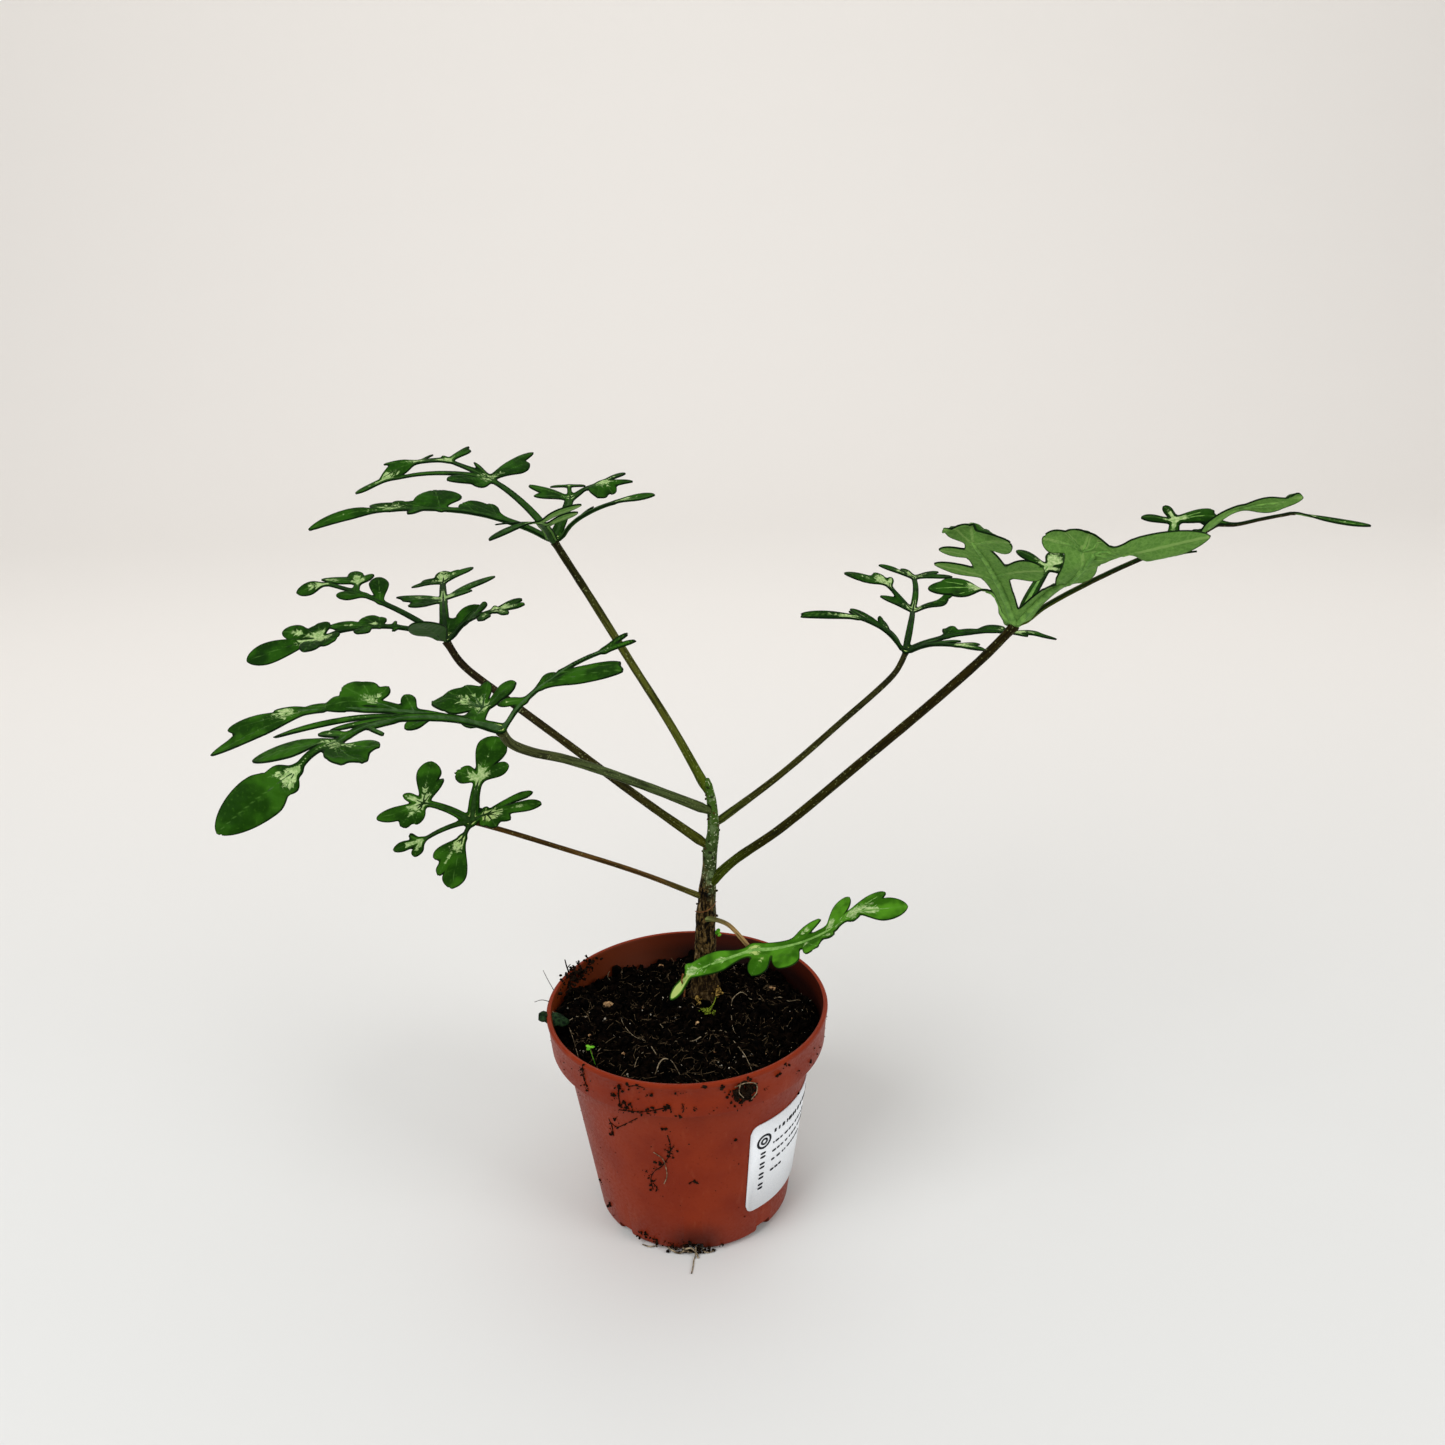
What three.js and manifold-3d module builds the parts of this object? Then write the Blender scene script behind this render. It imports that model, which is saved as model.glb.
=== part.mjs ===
// A young succulent climber in a 9 cm nursery pot: pot, paper label, soil, one corky stem and seven
// palmately divided leaves, each a petiole and a blade. Millimetres, +Z up, origin under the pot.
// The pot stands on z = 0; +X is to the right and -Y faces the viewer.
import * as THREE from "three";
import { mergeVertices } from "three/addons/utils/BufferGeometryUtils.js";
import Module from "manifold-3d";

const wasm = await Module();
wasm.setup();

// Driving dimensions of the pot
const POT_RIM_RADIUS = 45;
const POT_HEIGHT = 74;
const POT_LIP_HEIGHT = 12.2;
const POT_LIP_FOOT_RADIUS = 43.9;
const POT_BODY_TOP_RADIUS = 39.8;
const POT_BASE_RADIUS = 31;
const POT_WALL = 1.4;
const POT_FILLET = 2.4;
const POT_SIDES = 72;
const DRAIN_HOLES = 8;
const DRAIN_RADIUS = 3.4;
const DRAIN_CIRCLE = 29.6;
// Driving dimensions of the label
const LABEL_BOTTOM = 13;
const LABEL_TOP = 49;
const LABEL_START_DEG = -60;
const LABEL_END_DEG = 40;
const LABEL_CORNER = 3;
const LABEL_THICK = 0.35;
// Driving dimensions of the soil and the clearance between pieces
const SOIL_LEVEL = 64.5;
const CLEARANCE = 0.3;
// Driving dimensions of the leaves
const BLADE_THICK = 0.7;
const KEEL = 0.5;
const WEB_SHARPNESS = 2.6; // per mm: how tightly the lobes' outlines run together at a fork
const WEB_TRIM = 0.25; // mm: what that running together would add to every edge
const BEND_SHARPNESS = 0.8; // per mm: how quickly the surface turns from one lobe to the next
const OUTLINE_STEP = 0.7;
const OUTLINE_TOLERANCE = 0.28;
const OUTLINE_CHORD = 6;

// Each leaf: number, palm centre (mm), lean of the palm's normal (heading, degrees from upright), ribs.
// Each rib: place along its parent (0 to 1), heading, rise (degrees), length, width (mm), and where it
// isn't a plain lobe: swing and arch (degrees over its length), the ribs that it carries, its roll
// (degrees), and where along it the lobe is widest (0 to 1).
// Heading 0 is +X, 90 is away from the viewer.
const LEAVES = [
  ["1", [-34, 20, 222], [-90, 10], [
    [0, -180, 29, 49, 2.6, -3, -35, [
      [1, 180, 4, 26.5, 4.9, -1, -32, [], -22, 0.5], [0.7, 108, 23, 11, 15, 0, -12, [], 0, 0.55],
      [0.9, 160, 6, 13, 5], [0.88, 149, 17, 7.5, 5], [0.78, 157, 9, 9, 4], [0.5, 127, 20, 6.5, 6],
      [0.3, 156, 25, 14.5, 7, 0, -12, [], 0, 0.7], [0.36, 111, 24, 8, 4], [0.8, -141, 1, 6, 3]]],
    [0, 130, 34, 34, 2.6, 5, -21, [
      [1, 54, 18, 21, 4.4, 0, -12, [], 0, 0.55], [1, 41, 15, 15, 7.5, 0, -12, [], 0, 0.7],
      [1, -145, 13, 14.5, 6], [0.97, -135, -3, 7, 5], [0.97, 127, 26, 12, 1.8],
      [1, 166, 11, 35, 2.4, 1, -27, [[1, -172, -13, 10.5, 4.4]]],
      [1, 144, 15, 18, 2.2, -3, -6, [
        [1, 62, 18, 12, 2], [1, 52, 14, 10, 3], [1, 133, 24, 4, 2],
        [1, 172, 3, 22, 3, 0, -12, [], 0, 0.5],
        [1, 165, 3, 9.5, 2, 0, -12, [
          [1, 60, 15, 6.5, 1.8], [1, -160, -8, 13.5, 6, 0, -12, [], -30, 0.5]]]]]]],
    [0, -102, 38, 20, 3.6, 9, -20, [
      [1, -28, 29, 16.5, 4.5, 0, -12, [], 0, 0.6], [0.6, -32, 29, 14, 4],
      [1, -136, 6, 17.5, 5, 0, -24, [], 0, 0.66], [1, -169, 7, 13, 1.8]]],
    [0, 72, 30, 22, 3.4, 16, -21, [
      [1, 155, 16, 15, 4], [1, 174, 9, 11.5, 4],
      [1, 97, 21, 8, 1.8, 0, -12, [[1, 174, 2, 6.5, 1.8], [1, -4, 4, 5.5, 1.8]]],
      [1, 39, 19, 13, 2.5, 0, -12, [
        [1, -4, 6, 9.5, 3], [1, 48, 12, 10, 3], [0.9, -93, -12, 8.5, 7, 0, -12, [], -30, 0.6],
        [1, -59, -19, 6.5, 6, 0, -12, [], -30, 0.6]]]]],
    [0, -14, 46, 23, 1.8, -3, -31, [
      [1, -1, 15, 12, 4.6, 0, -12, [], 0, 0.6], [0.5, 58, 19, 6.5, 2]]]]],
  ["2", [-72, 35, 187], [-90, 14], [
    [0, -176, 27, 39.5, 2, 0, -47, [
      [0.54, 131, 12, 8.5, 7], [0.52, 104, 15, 6, 5], [0.62, 165, 3, 13, 5.5, 0, -12, [], 0, 0.5],
      [0.6, -105, 9, 8.5, 5.5], [0.42, 82, 19, 3.5, 1.6], [0.38, -114, -1, 3.5, 1.6],
      [1, 108, 17, 9, 8], [1, 149, 4, 17, 6.2, 0, -12, [], -20, 0.62], [1, -47, 14, 9, 8],
      [1, -94, 10, 16.5, 6, 0, -12, [], -30, 0.62], [1, -164, -6, 23.5, 7.8, 3, -11, [], -34, 0.7]]],
    [0, 157, 30, 46, 2.2, -2, -25, [
      [1, 176, -9, 11, 5.5, 0, -13, [], -30, 0.55], [0.55, 102, 32, 12, 6.8, 0, -12, [], 0, 0.7],
      [0.68, -167, 11, 9, 5.5, 0, -12, [], 0, 0.6],
      [0.76, 93, 18, 6, 2.4, 0, -11, [
        [1, 166, 8, 13, 5.5, 0, -12, [], 0, 0.45], [1, 109, 19, 8, 5.5],
        [1, 45, 20, 6.5, 4.2, 0, -12, [], 0, 0.5]]]]],
    [0, 100, 27, 28, 3.2, 0, -33, [
      [1, 167, 5, 17, 6, 0, -12, [], 0, 0.5], [0.98, 175, 2, 14, 5, 0, -12, [], 0, 0.6],
      [0.85, 178, -2, 12, 6.5, 0, -12, [], 0, 0.5], [1, 9, 18, 10, 5],
      [1, 41, 15, 21, 6.5, 0, -12, [], 0, 0.6],
      [1, 100, 9, 17, 2.6, 0, -12, [
        [1, 182, -2, 11, 4.4], [1, 163, 6, 8, 5], [1, 91, 28, 6.5, 7], [1, 54, 21, 9, 5],
        [1, 42, 17, 13, 5]]]]],
    [0, -7, 50, 20, 2, 4, -44, [
      [0.55, 77, 23, 9, 8], [1, 28, 20, 9, 3.6], [1, -9, 20, 9.5, 3.6], [0.9, 4, 51, 2.5, 4],
      [1, -54, 11, 7, 3.2], [0.78, -83, 6, 7, 5], [0.6, -100, 10, 5, 4]]],
    [0, 49, 32, 16.5, 9, 0, -12, [], 0, 0.7],
    [0, -108, 33, 24, 11, 11, -6, [], 25, 0.55],
    [0, 86, 26, 10, 7]]],
  ["3", [-43, -52, 191], [-90, 26], [
    [0, 173, 14, 61, 2.6, -16, -28, [
      [0.95, -170, -4, 19.5, 6], [0.9, -164, -13, 28, 6, 0, -12, [], 0, 0.45],
      [0.45, 146, 11, 9.5, 3, 0, -12, [
        [1, 121, 24, 8, 7], [1, -174, 9, 13.5, 6.5], [1, 47, 33, 6, 5], [1, 151, 20, 10.5, 9]]],
      [0.38, 120, 29, 7.5, 4.4], [0.3, -141, -5, 8.5, 4.5], [0.7, 158, -1, 13.5, 3],
      [0.82, 170, 2, 15, 3.6], [0.33, -169, 8, 40.5, 2.4, 0, -24],
      [0.12, 80, 14, 8, 5, 0, -12, [
        [1, 21, 37, 11, 7], [1, 88, 28, 10.5, 4], [1, 122, 23, 11, 7], [1, 163, 6, 14.5, 9],
        [1, -175, 0, 10, 6], [1, 147, 21, 12.5, 9]]]]],
    [0, -156, 28, 52, 2.6, 46, -29, [
      [1, 171, -5, 21.5, 8, 2, -18, [], 0, 0.5], [1, -24, 11, 13, 7], [1, -49, 3, 13.5, 9],
      [1, -69, -2, 12, 7], [0.75, -56, 7, 8, 3.6], [1, -84, -11, 9, 4], [0.6, 175, -4, 17, 2.5],
      [0.9, 164, 2, 8, 4],
      [1, -129, 6, 12, 2.4, 9, -37, [
        [1, -150, -23, 22, 11.5, 0, -12, [], -5, 0.4], [1, 175, -16, 8, 6], [1, -105, -14, 7, 6]]]]],
    [0, 13, 51, 34, 1.6, 5, -38, [
      [1, 42, 24, 9, 2], [1, 5, 21, 9, 2], [0.28, 165, -3, 8, 3], [0.62, -14, 7, 18, 2.8, 0, 14],
      [0.45, -21, 25, 24.5, 5.2, 0, -20, [], 0, 0.5], [0.44, 52, 22, 6, 4]]]]],
  ["4", [-61, -10, 145], [-90, 32], [
    [0, 75, 71, 12.5, 3.2, -4, -30, [
      [1, 160, 18, 7, 6.6, 0, -12, [], 0, 0.66], [1, 0, 32, 10.5, 5, 0, -12, [], 0, 0.66],
      [1, 70, 38, 16, 9.8, 0, -12, [], 0, 0.72]]],
    [0, 172, 34, 15.5, 2.6, -3, -29, [
      [1, 85, 41, 14.5, 7.6, 0, -12, [], 0, 0.68], [1, 37, 45, 9.5, 3.2], [1, 163, 22, 7, 3.4],
      [1, -165, -19, 14.5, 5.2, 0, 14, [], 0, 0.6], [1, -133, -19, 9.5, 5, 0, -12, [], 0, 0.6],
      [1, -108, -24, 7, 5]]],
    [0, -168, -5, 16, 1.8, -5, -26, [
      [1, -169, -8, 9, 3.8], [1, -106, -20, 6, 4.4], [1, 155, 5, 5, 1.8]]],
    [0, -120, -31, 6, 1.6, 0, -11, [
      [1, -136, -8, 11, 4, 0, -12, [], 0, 0.7], [1, -95, -21, 18, 7.8, 0, -12, [], 0, 0.74],
      [1, -124, -28, 13.5, 4, 0, -12, [], 0, 0.85]]],
    [0, 3, 29, 5, 2.4, 0, -12, [
      [1, 34, 16, 16, 3.4, 0, -12, [], 0, 0.75], [1, 0, 16, 17, 4.4, 0, -12, [], 0, 0.7],
      [1, -18, 0, 8, 3.6], [1, -54, -15, 6, 5], [0.9, -94, -12, 4.5, 4], [0.7, 65, 29, 3.5, 2.4]]]]],
  ["5", [92, -35, 210], [-90, -8], [
    [0, -131, 56, 36.5, 5, 3, -16, [
      [0.48, 175, 22, 17, 5], [0.75, 173, 19, 12, 5], [0.97, 197, 29, 9.5, 8], [0.97, 171, 55, 8.5, 9],
      [0.97, -50, 18, 11, 11.5, 0, -12, [], 0, 0.5], [0.55, -38, 21, 14, 9.5, 0, -12, [], 0, 0.7],
      [0.98, -158, 88, 6.5, 12]]],
    [0, -131, 56, 38, 9, 3, -16, [], 0, 0.7],
    [0, -59, 49, 39.5, 6.4, -12, -26, [
      [1, -18, 25, 26, 9.5, 0, -12, [], -50, 0.35], [0.8, -20, 21, 28, 3, 0, -12, [], 0, 0.5],
      [1, 23, 33, 10.5, 7], [0.95, 17, 23, 9, 6, 0, -12, [], 40],
      [0.74, -99, 78, 8.5, 9, 0, -12, [
        [1, -171, 20, 10, 7.5], [1, -150, 45, 7, 9], [1, -70, 50, 6.5, 9], [1, -52, 31, 7.5, 6.5]]]]],
    [0, -59, 49, 39, 9, -12, -26, [], 0, 0.8],
    [0, 8, 29, 93, 1.8, 25, -34, [
      [1, -8, -13, 21.5, 3.8, 1, 6, [], 25],
      [0.5, 66, 36, 10, 3, -1, -11, [
        [1, 162, 8, 9, 3.6], [1, 103, 27, 7, 3], [1, 15, 17, 12, 4], [1, 5, 11, 12, 4]]],
      [0.6, -23, 55, 13, 4, -1, -30, [
        [1, 3, 24, 17.5, 6.8, 0, -34, [], -45, 0.5], [1, -19, 10, 11.5, 5, 0, -12, [], -45],
        [1, -25, 5, 13, 4.4]], -30]]],
    [0, 54, 31, 26.5, 3.4, 10, -23, [
      [1, 149, 25, 10, 4.6], [1, 61, 28, 8, 5], [1, 23, 10, 9, 5], [0.9, 3, -7, 5.5, 4]]],
    [0, 155, 74, 12, 2, 7, -58, [
      [1, 178, 8, 15.5, 6, 0, -12, [], -45], [1, 161, 14, 12, 5, 0, -12, [], -40],
      [1, -161, 5, 10, 3.6, 0, -12, [], -40]]],
    [0, -184, 24, 6, 1.8]]],
  ["6", [74, 45, 175], [-90, 12], [
    [0, -180, 57, 20.5, 2, 0, -42, [
      [1, -182, 11, 18, 3.6, 0, -12, [], 0, 0.5], [0.97, -180, 8, 19, 3, 0, -12, [], 0, 0.5],
      [0.92, 136, 21, 5.5, 1.6], [0.6, 146, 27, 11.5, 4], [0.5, 99, 38, 6, 3], [0.42, 104, 26, 5.5, 4],
      [0.15, 121, 29, 6.5, 4, 0, -12, [], 0, 0.6]]],
    [0, 75, 25, 30, 2.4, 6, -33, [
      [1, 156, 24, 12.5, 6, 0, -12, [], 0, 0.6], [1, 9, 7, 13, 5.5, 0, -12, [], 0, 0.7],
      [1, 128, 33, 14.5, 2.4, -3, -14, [
        [1, 171, 20, 15.5, 6, 0, -12, [], 0, 0.6], [1, -180, 15, 9.5, 4], [1, 129, 31, 7, 5],
        [0.9, 73, 39, 5, 3]]],
      [1, 24, 39, 17, 4, -15, -50, [], 0, 0.7],
      [1, 75, 18, 24, 2.4, 13, -13, [
        [1, 155, 20, 14, 4], [1, 2, 4, 14, 4], [1, 124, 17, 7.5, 3.6], [1, 29, 7, 11, 3.4]]]]],
    [0, -27, 29, 18, 2, 1, -33, [
      [1, -38, 7, 10, 3, 0, -12, [], 0, 0.5], [0.95, -14, 9, 8, 2.4], [0.25, 35, 9, 9.5, 3.4],
      [0.55, 5, 7, 9.5, 2.6]]],
    [0, 25, 14, 40, 2.2, -10, -27, [
      [1, -3, -4, 15.5, 2.6], [0.4, 99, 14, 5, 2.4], [0.38, 58, 19, 7, 4], [0.38, 24, 6, 12.5, 4],
      [0.65, 30, 3, 13, 5, 0, -12, [], 0, 0.55], [0.92, 6, 2, 12.5, 3], [0.97, -21, -2, 6.5, 2.4]]]]],
  ["7", [21.5, -25, 107], [-90, 20], [
    [0, -170, -12, 19.5, 3, -2, -8, [
      [0.1, -172, -10, 20, 8, 0, -8, [], 0, 0.5], [1, -156, -38, 10.5, 4.2, 0, -12],
      [1, 122, 20, 4, 3, 0, -12]]],
    [0, -6, 1, 32.5, 4.5, 8, 44, [
      [0.14, -127, -17, 10.5, 6.5], [0.4, -132, -13, 10.5, 9, 0, -12, [], 0, 0.5],
      [0.3, 27, 33, 13.5, 3.6, 0, -12, [], 0, 0.5], [0.44, -55, 24, 7.5, 7.5], [0.6, -47, 34, 7, 2.8],
      [0.78, -85, 44, 5, 3], [0.68, 43, 42, 13, 6], [1, -2, 9, 16, 8.6, 0, -6, [], 0, 0.55],
      [0.95, 28, 24, 13.5, 5.6], [1, -97, -8, 3.5, 4]]]]],
];

// Stem: centre line from the buried foot to the growing tip, and its radius there
const STEM = [
  [4.6, 15.5, 50, 4.2], [5, 14.6, 58, 5.2], [5.3, 13.6, 65, 5.5], [5.7, 12.8, 70, 4.9], [6, 11.6, 76, 4.1],
  [6.2, 10.2, 84, 3.6], [6.5, 8.4, 92, 3.5], [6.7, 7.4, 97, 3.3], [6.9, 6.6, 101, 3.5], [7.3, 5.8, 106, 3],
  [7.7, 5.3, 111.3, 3.1], [8.1, 5.1, 116, 2.6], [8.6, 5, 120.5, 2.6], [9, 5, 125.3, 2.6], [9.5, 5, 131, 2.4],
  [9.8, 5, 137, 2.3], [10.1, 5, 142.4, 2], [9.35, 5, 147.4, 1.5], [9.2, 5, 149.6, 0.7],
];
// Petioles: leaf number, points from the stem's centre line to just under the palm, radius at each end
const PETIOLES = [
  ["1", [[9.6, 5, 145], [-1.9, 8.8, 165.7], [-12.6, 12.6, 184.6], [-23.7, 16.4, 203.8],
    [-30.8, 18.9, 215.6], [-34, 20, 220.6]], 1.25, 1.15],
  ["2", [[9, 4.5, 126.5], [-12.3, 12, 140.5], [-33.8, 20.2, 155.4], [-55.5, 28.3, 170.4],
    [-67.3, 32.9, 179.1], [-71.8, 35, 185.6]], 1.3, 1.2],
  ["3", [[9.8, 5, 138.5], [-10.5, -13.5, 156.8], [-29, -33.5, 173.9], [-37, -42.3, 180.1],
    [-41.5, -48.4, 185.4], [-43, -51.6, 189.6]], 1.3, 1.25],
  ["4", [[7.6, 5, 108.2], [-12.9, 1.3, 120], [-37.8, -4, 132.8], [-53.9, -7, 140.6],
    [-59.9, -8.7, 143.7]], 0.8, 0.75],
  ["5", [[7.8, 5, 113], [15.7, 3.2, 121.8], [30.5, -2.8, 135.7], [53.5, -13.6, 161.4],
    [76, -25.4, 187.7], [85, -30.5, 199], [91, -34.5, 207.7]], 1.45, 1.2],
  ["6", [[9.4, 4.5, 133.5], [31.5, 17, 144.7], [50.7, 29.1, 156.1], [69.5, 40.9, 168.1],
    [72.2, 43.2, 171.2], [74, 45, 173.6]], 1.05, 0.95],
  ["7", [[6.8, 5, 101], [10.5, -2.8, 104.9], [14.2, -9.3, 106.6], [17.8, -17.2, 106.6],
    [21.1, -24.7, 105.5]], 0.75, 0.7],
];
const PETIOLE_SIDES = 8;
const STEM_SIDES = 14;

const radians = THREE.MathUtils.degToRad;
const vec = (x, y, z) => new THREE.Vector3(x, y, z);
const direction = (heading, rise) =>
  vec(Math.cos(radians(heading)) * Math.cos(radians(rise)),
    Math.sin(radians(heading)) * Math.cos(radians(rise)), Math.sin(radians(rise)));

// Solids: a closed surface from points and triangles, and the three booleans' subtraction
function surface(points, triangles) {
  const g = new THREE.BufferGeometry();
  g.setAttribute("position", new THREE.Float32BufferAttribute(points.flatMap((p) => p.toArray()), 3));
  g.setIndex(triangles.flat());
  return g;
}
function solid(geometry) {
  const g = geometry.clone();
  for (const name of Object.keys(g.attributes)) if (name !== "position") g.deleteAttribute(name);
  const merged = mergeVertices(g, 1e-4);
  return new wasm.Manifold(new wasm.Mesh({
    numProp: 3, vertProperties: new Float32Array(merged.attributes.position.array),
    triVerts: new Uint32Array(merged.index.array),
  }));
}
function geometryOf(manifold) {
  const m = manifold.getMesh();
  const g = new THREE.BufferGeometry();
  g.setAttribute("position", new THREE.BufferAttribute(new Float32Array(m.vertProperties), 3));
  g.setIndex(new THREE.BufferAttribute(new Uint32Array(m.triVerts), 1));
  g.computeVertexNormals();
  return g;
}
// Cuts the tools out of a solid and keeps its largest remaining piece
function cut(geometry, ...tools) {
  const left = tools.reduce((body, tool) => body.subtract(solid(tool)), solid(geometry));
  return geometryOf(left.decompose().sort((a, b) => b.volume() - a.volume())[0]);
}

// A tube of round sections along a smooth line; radiusAt takes the share along the line
function tube(line, radiusAt, sides, rows) {
  const spine = new THREE.CatmullRomCurve3(line, false, "centripetal");
  const points = [], faces = [];
  let across = vec(0, 1, 0);
  for (let i = 0; i <= rows; i++) {
    const along = spine.getTangentAt(i / rows);
    across = across.clone().addScaledVector(along, -across.dot(along)).normalize();
    const up = along.clone().cross(across);
    for (let k = 0; k < sides; k++) {
      const a = (2 * Math.PI * k) / sides, r = radiusAt(i / rows, a);
      const out = across.clone().multiplyScalar(Math.cos(a)).addScaledVector(up, Math.sin(a));
      points.push(spine.getPointAt(i / rows).addScaledVector(out, r));
    }
  }
  for (let i = 0; i < rows; i++)
    for (let k = 0; k < sides; k++) {
      const a = i * sides + k, b = i * sides + ((k + 1) % sides);
      faces.push([a, b, b + sides], [a, b + sides, a + sides]);
    }
  for (let k = 1; k < sides - 1; k++) {
    faces.push([0, k + 1, k]);
    faces.push([rows * sides, rows * sides + k, rows * sides + k + 1]);
  }
  return surface(points, faces);
}

// The leaf's ribs, laid flat from the palm outwards and carried in space, each with its own frame
const RIB_STEPS = 12, BELLY = 0.62;
function growRib(parent, spec, leaf, ribs) {
  const [place, heading, rise, length, width, swing = 0, arch = -12, carried = [], roll = 0,
    belly = BELLY] = spec;
  const start = parent ? at(parent, place * parent.length) : leaf.frame;
  const out = direction(heading, rise);
  const turn = Math.atan2(out.dot(start.side), out.dot(start.along));
  const flat = parent ? parent.flat.clone().addScaledVector(parent.course,
    place * parent.length) : new THREE.Vector2();
  const bearing = (parent ? parent.bearing + place * parent.swing : 0) + turn;
  const chord = bearing + radians(swing) / 2; // a rib that swings is laid flat along its chord
  const rib = { length, width, belly, flat, bearing, swing: radians(swing), stalk: carried.length > 0,
    course: new THREE.Vector2(Math.cos(chord), Math.sin(chord)), frames: [] };
  let point = start.point.clone(), normal = start.normal.clone();
  for (let i = 0; i <= RIB_STEPS; i++) {
    const share = i / RIB_STEPS;
    const along = direction(heading + swing * share, rise + arch * share);
    normal = normal.clone().addScaledVector(along, -normal.dot(along)).normalize();
    const level = normal.clone().cross(along),
      turned = radians(roll) * THREE.MathUtils.smoothstep(share, 0, 0.4);
    const side = level.multiplyScalar(Math.cos(turned)).addScaledVector(normal, Math.sin(turned));
    rib.frames.push({ point: point.clone(), along, normal: along.clone().cross(side), side });
    const middle = share + 0.5 / RIB_STEPS;
    point.addScaledVector(direction(heading + swing * middle, rise + arch * middle), length / RIB_STEPS);
  }
  ribs.push(rib);
  for (const child of carried) growRib(rib, child, leaf, ribs);
}
function at(rib, s) {
  const x = Math.min(Math.max(s / rib.length, 0), 1) * RIB_STEPS;
  const i = Math.min(Math.floor(x), RIB_STEPS - 1), f = x - i;
  const a = rib.frames[i], b = rib.frames[i + 1];
  const mix = (k) => a[k].clone().lerp(b[k], f);
  const unit = (k) => mix(k).normalize();
  return { point: mix("point"), along: unit("along"), normal: unit("normal"), side: unit("side") };
}
// Half the width of a rib's strip of blade: stalks are even, lobes swell to a belly and round to a tip
function halfWidth(rib, s) {
  const x = s / rib.length, half = rib.width / 2;
  if (rib.stalk) return half * (1.25 - 0.35 * x);
  const neck = Math.min(half, 0.9 + 0.12 * half);
  if (x < rib.belly) return neck + (half - neck) * THREE.MathUtils.smoothstep(x, 0, rib.belly);
  return half * Math.pow(Math.max(1 - ((x - rib.belly) / (1 - rib.belly)) ** 2, 0), 0.6);
}
// Distance of a flat point outside a rib's strip (negative inside), with its place along and across
function reach(rib, u, v) {
  const du = u - rib.flat.x, dv = v - rib.flat.y;
  const s = du * rib.course.x + dv * rib.course.y, t = dv * rib.course.x - du * rib.course.y;
  if (s < 0) return { s, t, d: Math.hypot(s, t) - halfWidth(rib, 0) };
  if (s > rib.length) return { s, t, d: Math.hypot(s - rib.length, t) - halfWidth(rib, rib.length) };
  return { s, t, d: Math.abs(t) - halfWidth(rib, s) };
}
function outlineField(ribs, u, v) {
  let sum = 0;
  for (const rib of ribs) sum += Math.exp(-WEB_SHARPNESS * reach(rib, u, v).d);
  return WEB_TRIM - Math.log(sum) / WEB_SHARPNESS;
}
// The flat point (u, v) in space: every rib offers its own place for it, and the nearest counts most
function lift(ribs, u, v) {
  const total = vec(0, 0, 0);
  let weights = 0;
  for (const rib of ribs) {
    const { s, t, d } = reach(rib, u, v), f = at(rib, s);
    const w = Math.exp(-BEND_SHARPNESS * (Math.max(d, -1.5) + 1.5));
    const over = s < 0 ? s : Math.max(s - rib.length, 0);
    total.addScaledVector(f.point.addScaledVector(f.along, over).addScaledVector(f.side, t), w);
    weights += w;
  }
  return total.divideScalar(weights);
}

// The outline: marching squares over the flat leaf, joined into loops and thinned
function contour(ribs) {
  const reachOf = ribs.flatMap((r) => [r.flat, r.flat.clone().addScaledVector(r.course, r.length)]);
  const bounds = new THREE.Box2().setFromPoints(reachOf).expandByScalar(12), low = bounds.min,
    high = bounds.max;
  const nx = Math.ceil((high.x - low.x) / OUTLINE_STEP), ny = Math.ceil((high.y - low.y) / OUTLINE_STEP);
  const value = [];
  for (let j = 0; j <= ny; j++)
    for (let i = 0; i <= nx; i++)
      value.push(outlineField(ribs, low.x + i * OUTLINE_STEP, low.y + j * OUTLINE_STEP));
  const next = new Map(), where = new Map();
  const crossing = ([i, j], [k, l]) => {
    const a = value[j * (nx + 1) + i], b = value[l * (nx + 1) + k], f = a / (a - b);
    const edge = i === k ? "v" : j === l ? "h" : "d";
    const key = [Math.min(i, k), Math.min(j, l), edge].join();
    where.set(key, new THREE.Vector2(i + (k - i) * f,
      j + (l - j) * f).multiplyScalar(OUTLINE_STEP).add(low));
    return key;
  };
  // Each cell is two triangles, so that no cell is in doubt; the blade lies left of the line
  for (let j = 0; j < ny; j++)
    for (let i = 0; i < nx; i++)
      for (const corners of [[[i, j], [i + 1, j], [i + 1, j + 1]], [[i, j], [i + 1, j + 1], [i, j + 1]]]) {
        const inside = corners.map(([x, y]) => value[y * (nx + 1) + x] < 0);
        const count = inside.filter(Boolean).length;
        if (count === 0 || count === 3) continue;
        const lone = inside.indexOf(count === 1);
        const [p, q, r] = [corners[lone], corners[(lone + 1) % 3], corners[(lone + 2) % 3]];
        const first = crossing(p, q), second = crossing(p, r);
        if (count === 1) next.set(first, second);
        else next.set(second, first);
      }
  const loops = [];
  while (next.size) {
    const start = next.keys().next().value, loop = [];
    for (let key = start; next.has(key); ) {
      loop.push(where.get(key));
      const following = next.get(key);
      next.delete(key);
      key = following;
    }
    loops.push(thin(loop));
  }
  return loops.filter((l) => l.length > 3).sort((a,
    b) => THREE.ShapeUtils.area(b) - THREE.ShapeUtils.area(a));
}
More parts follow.
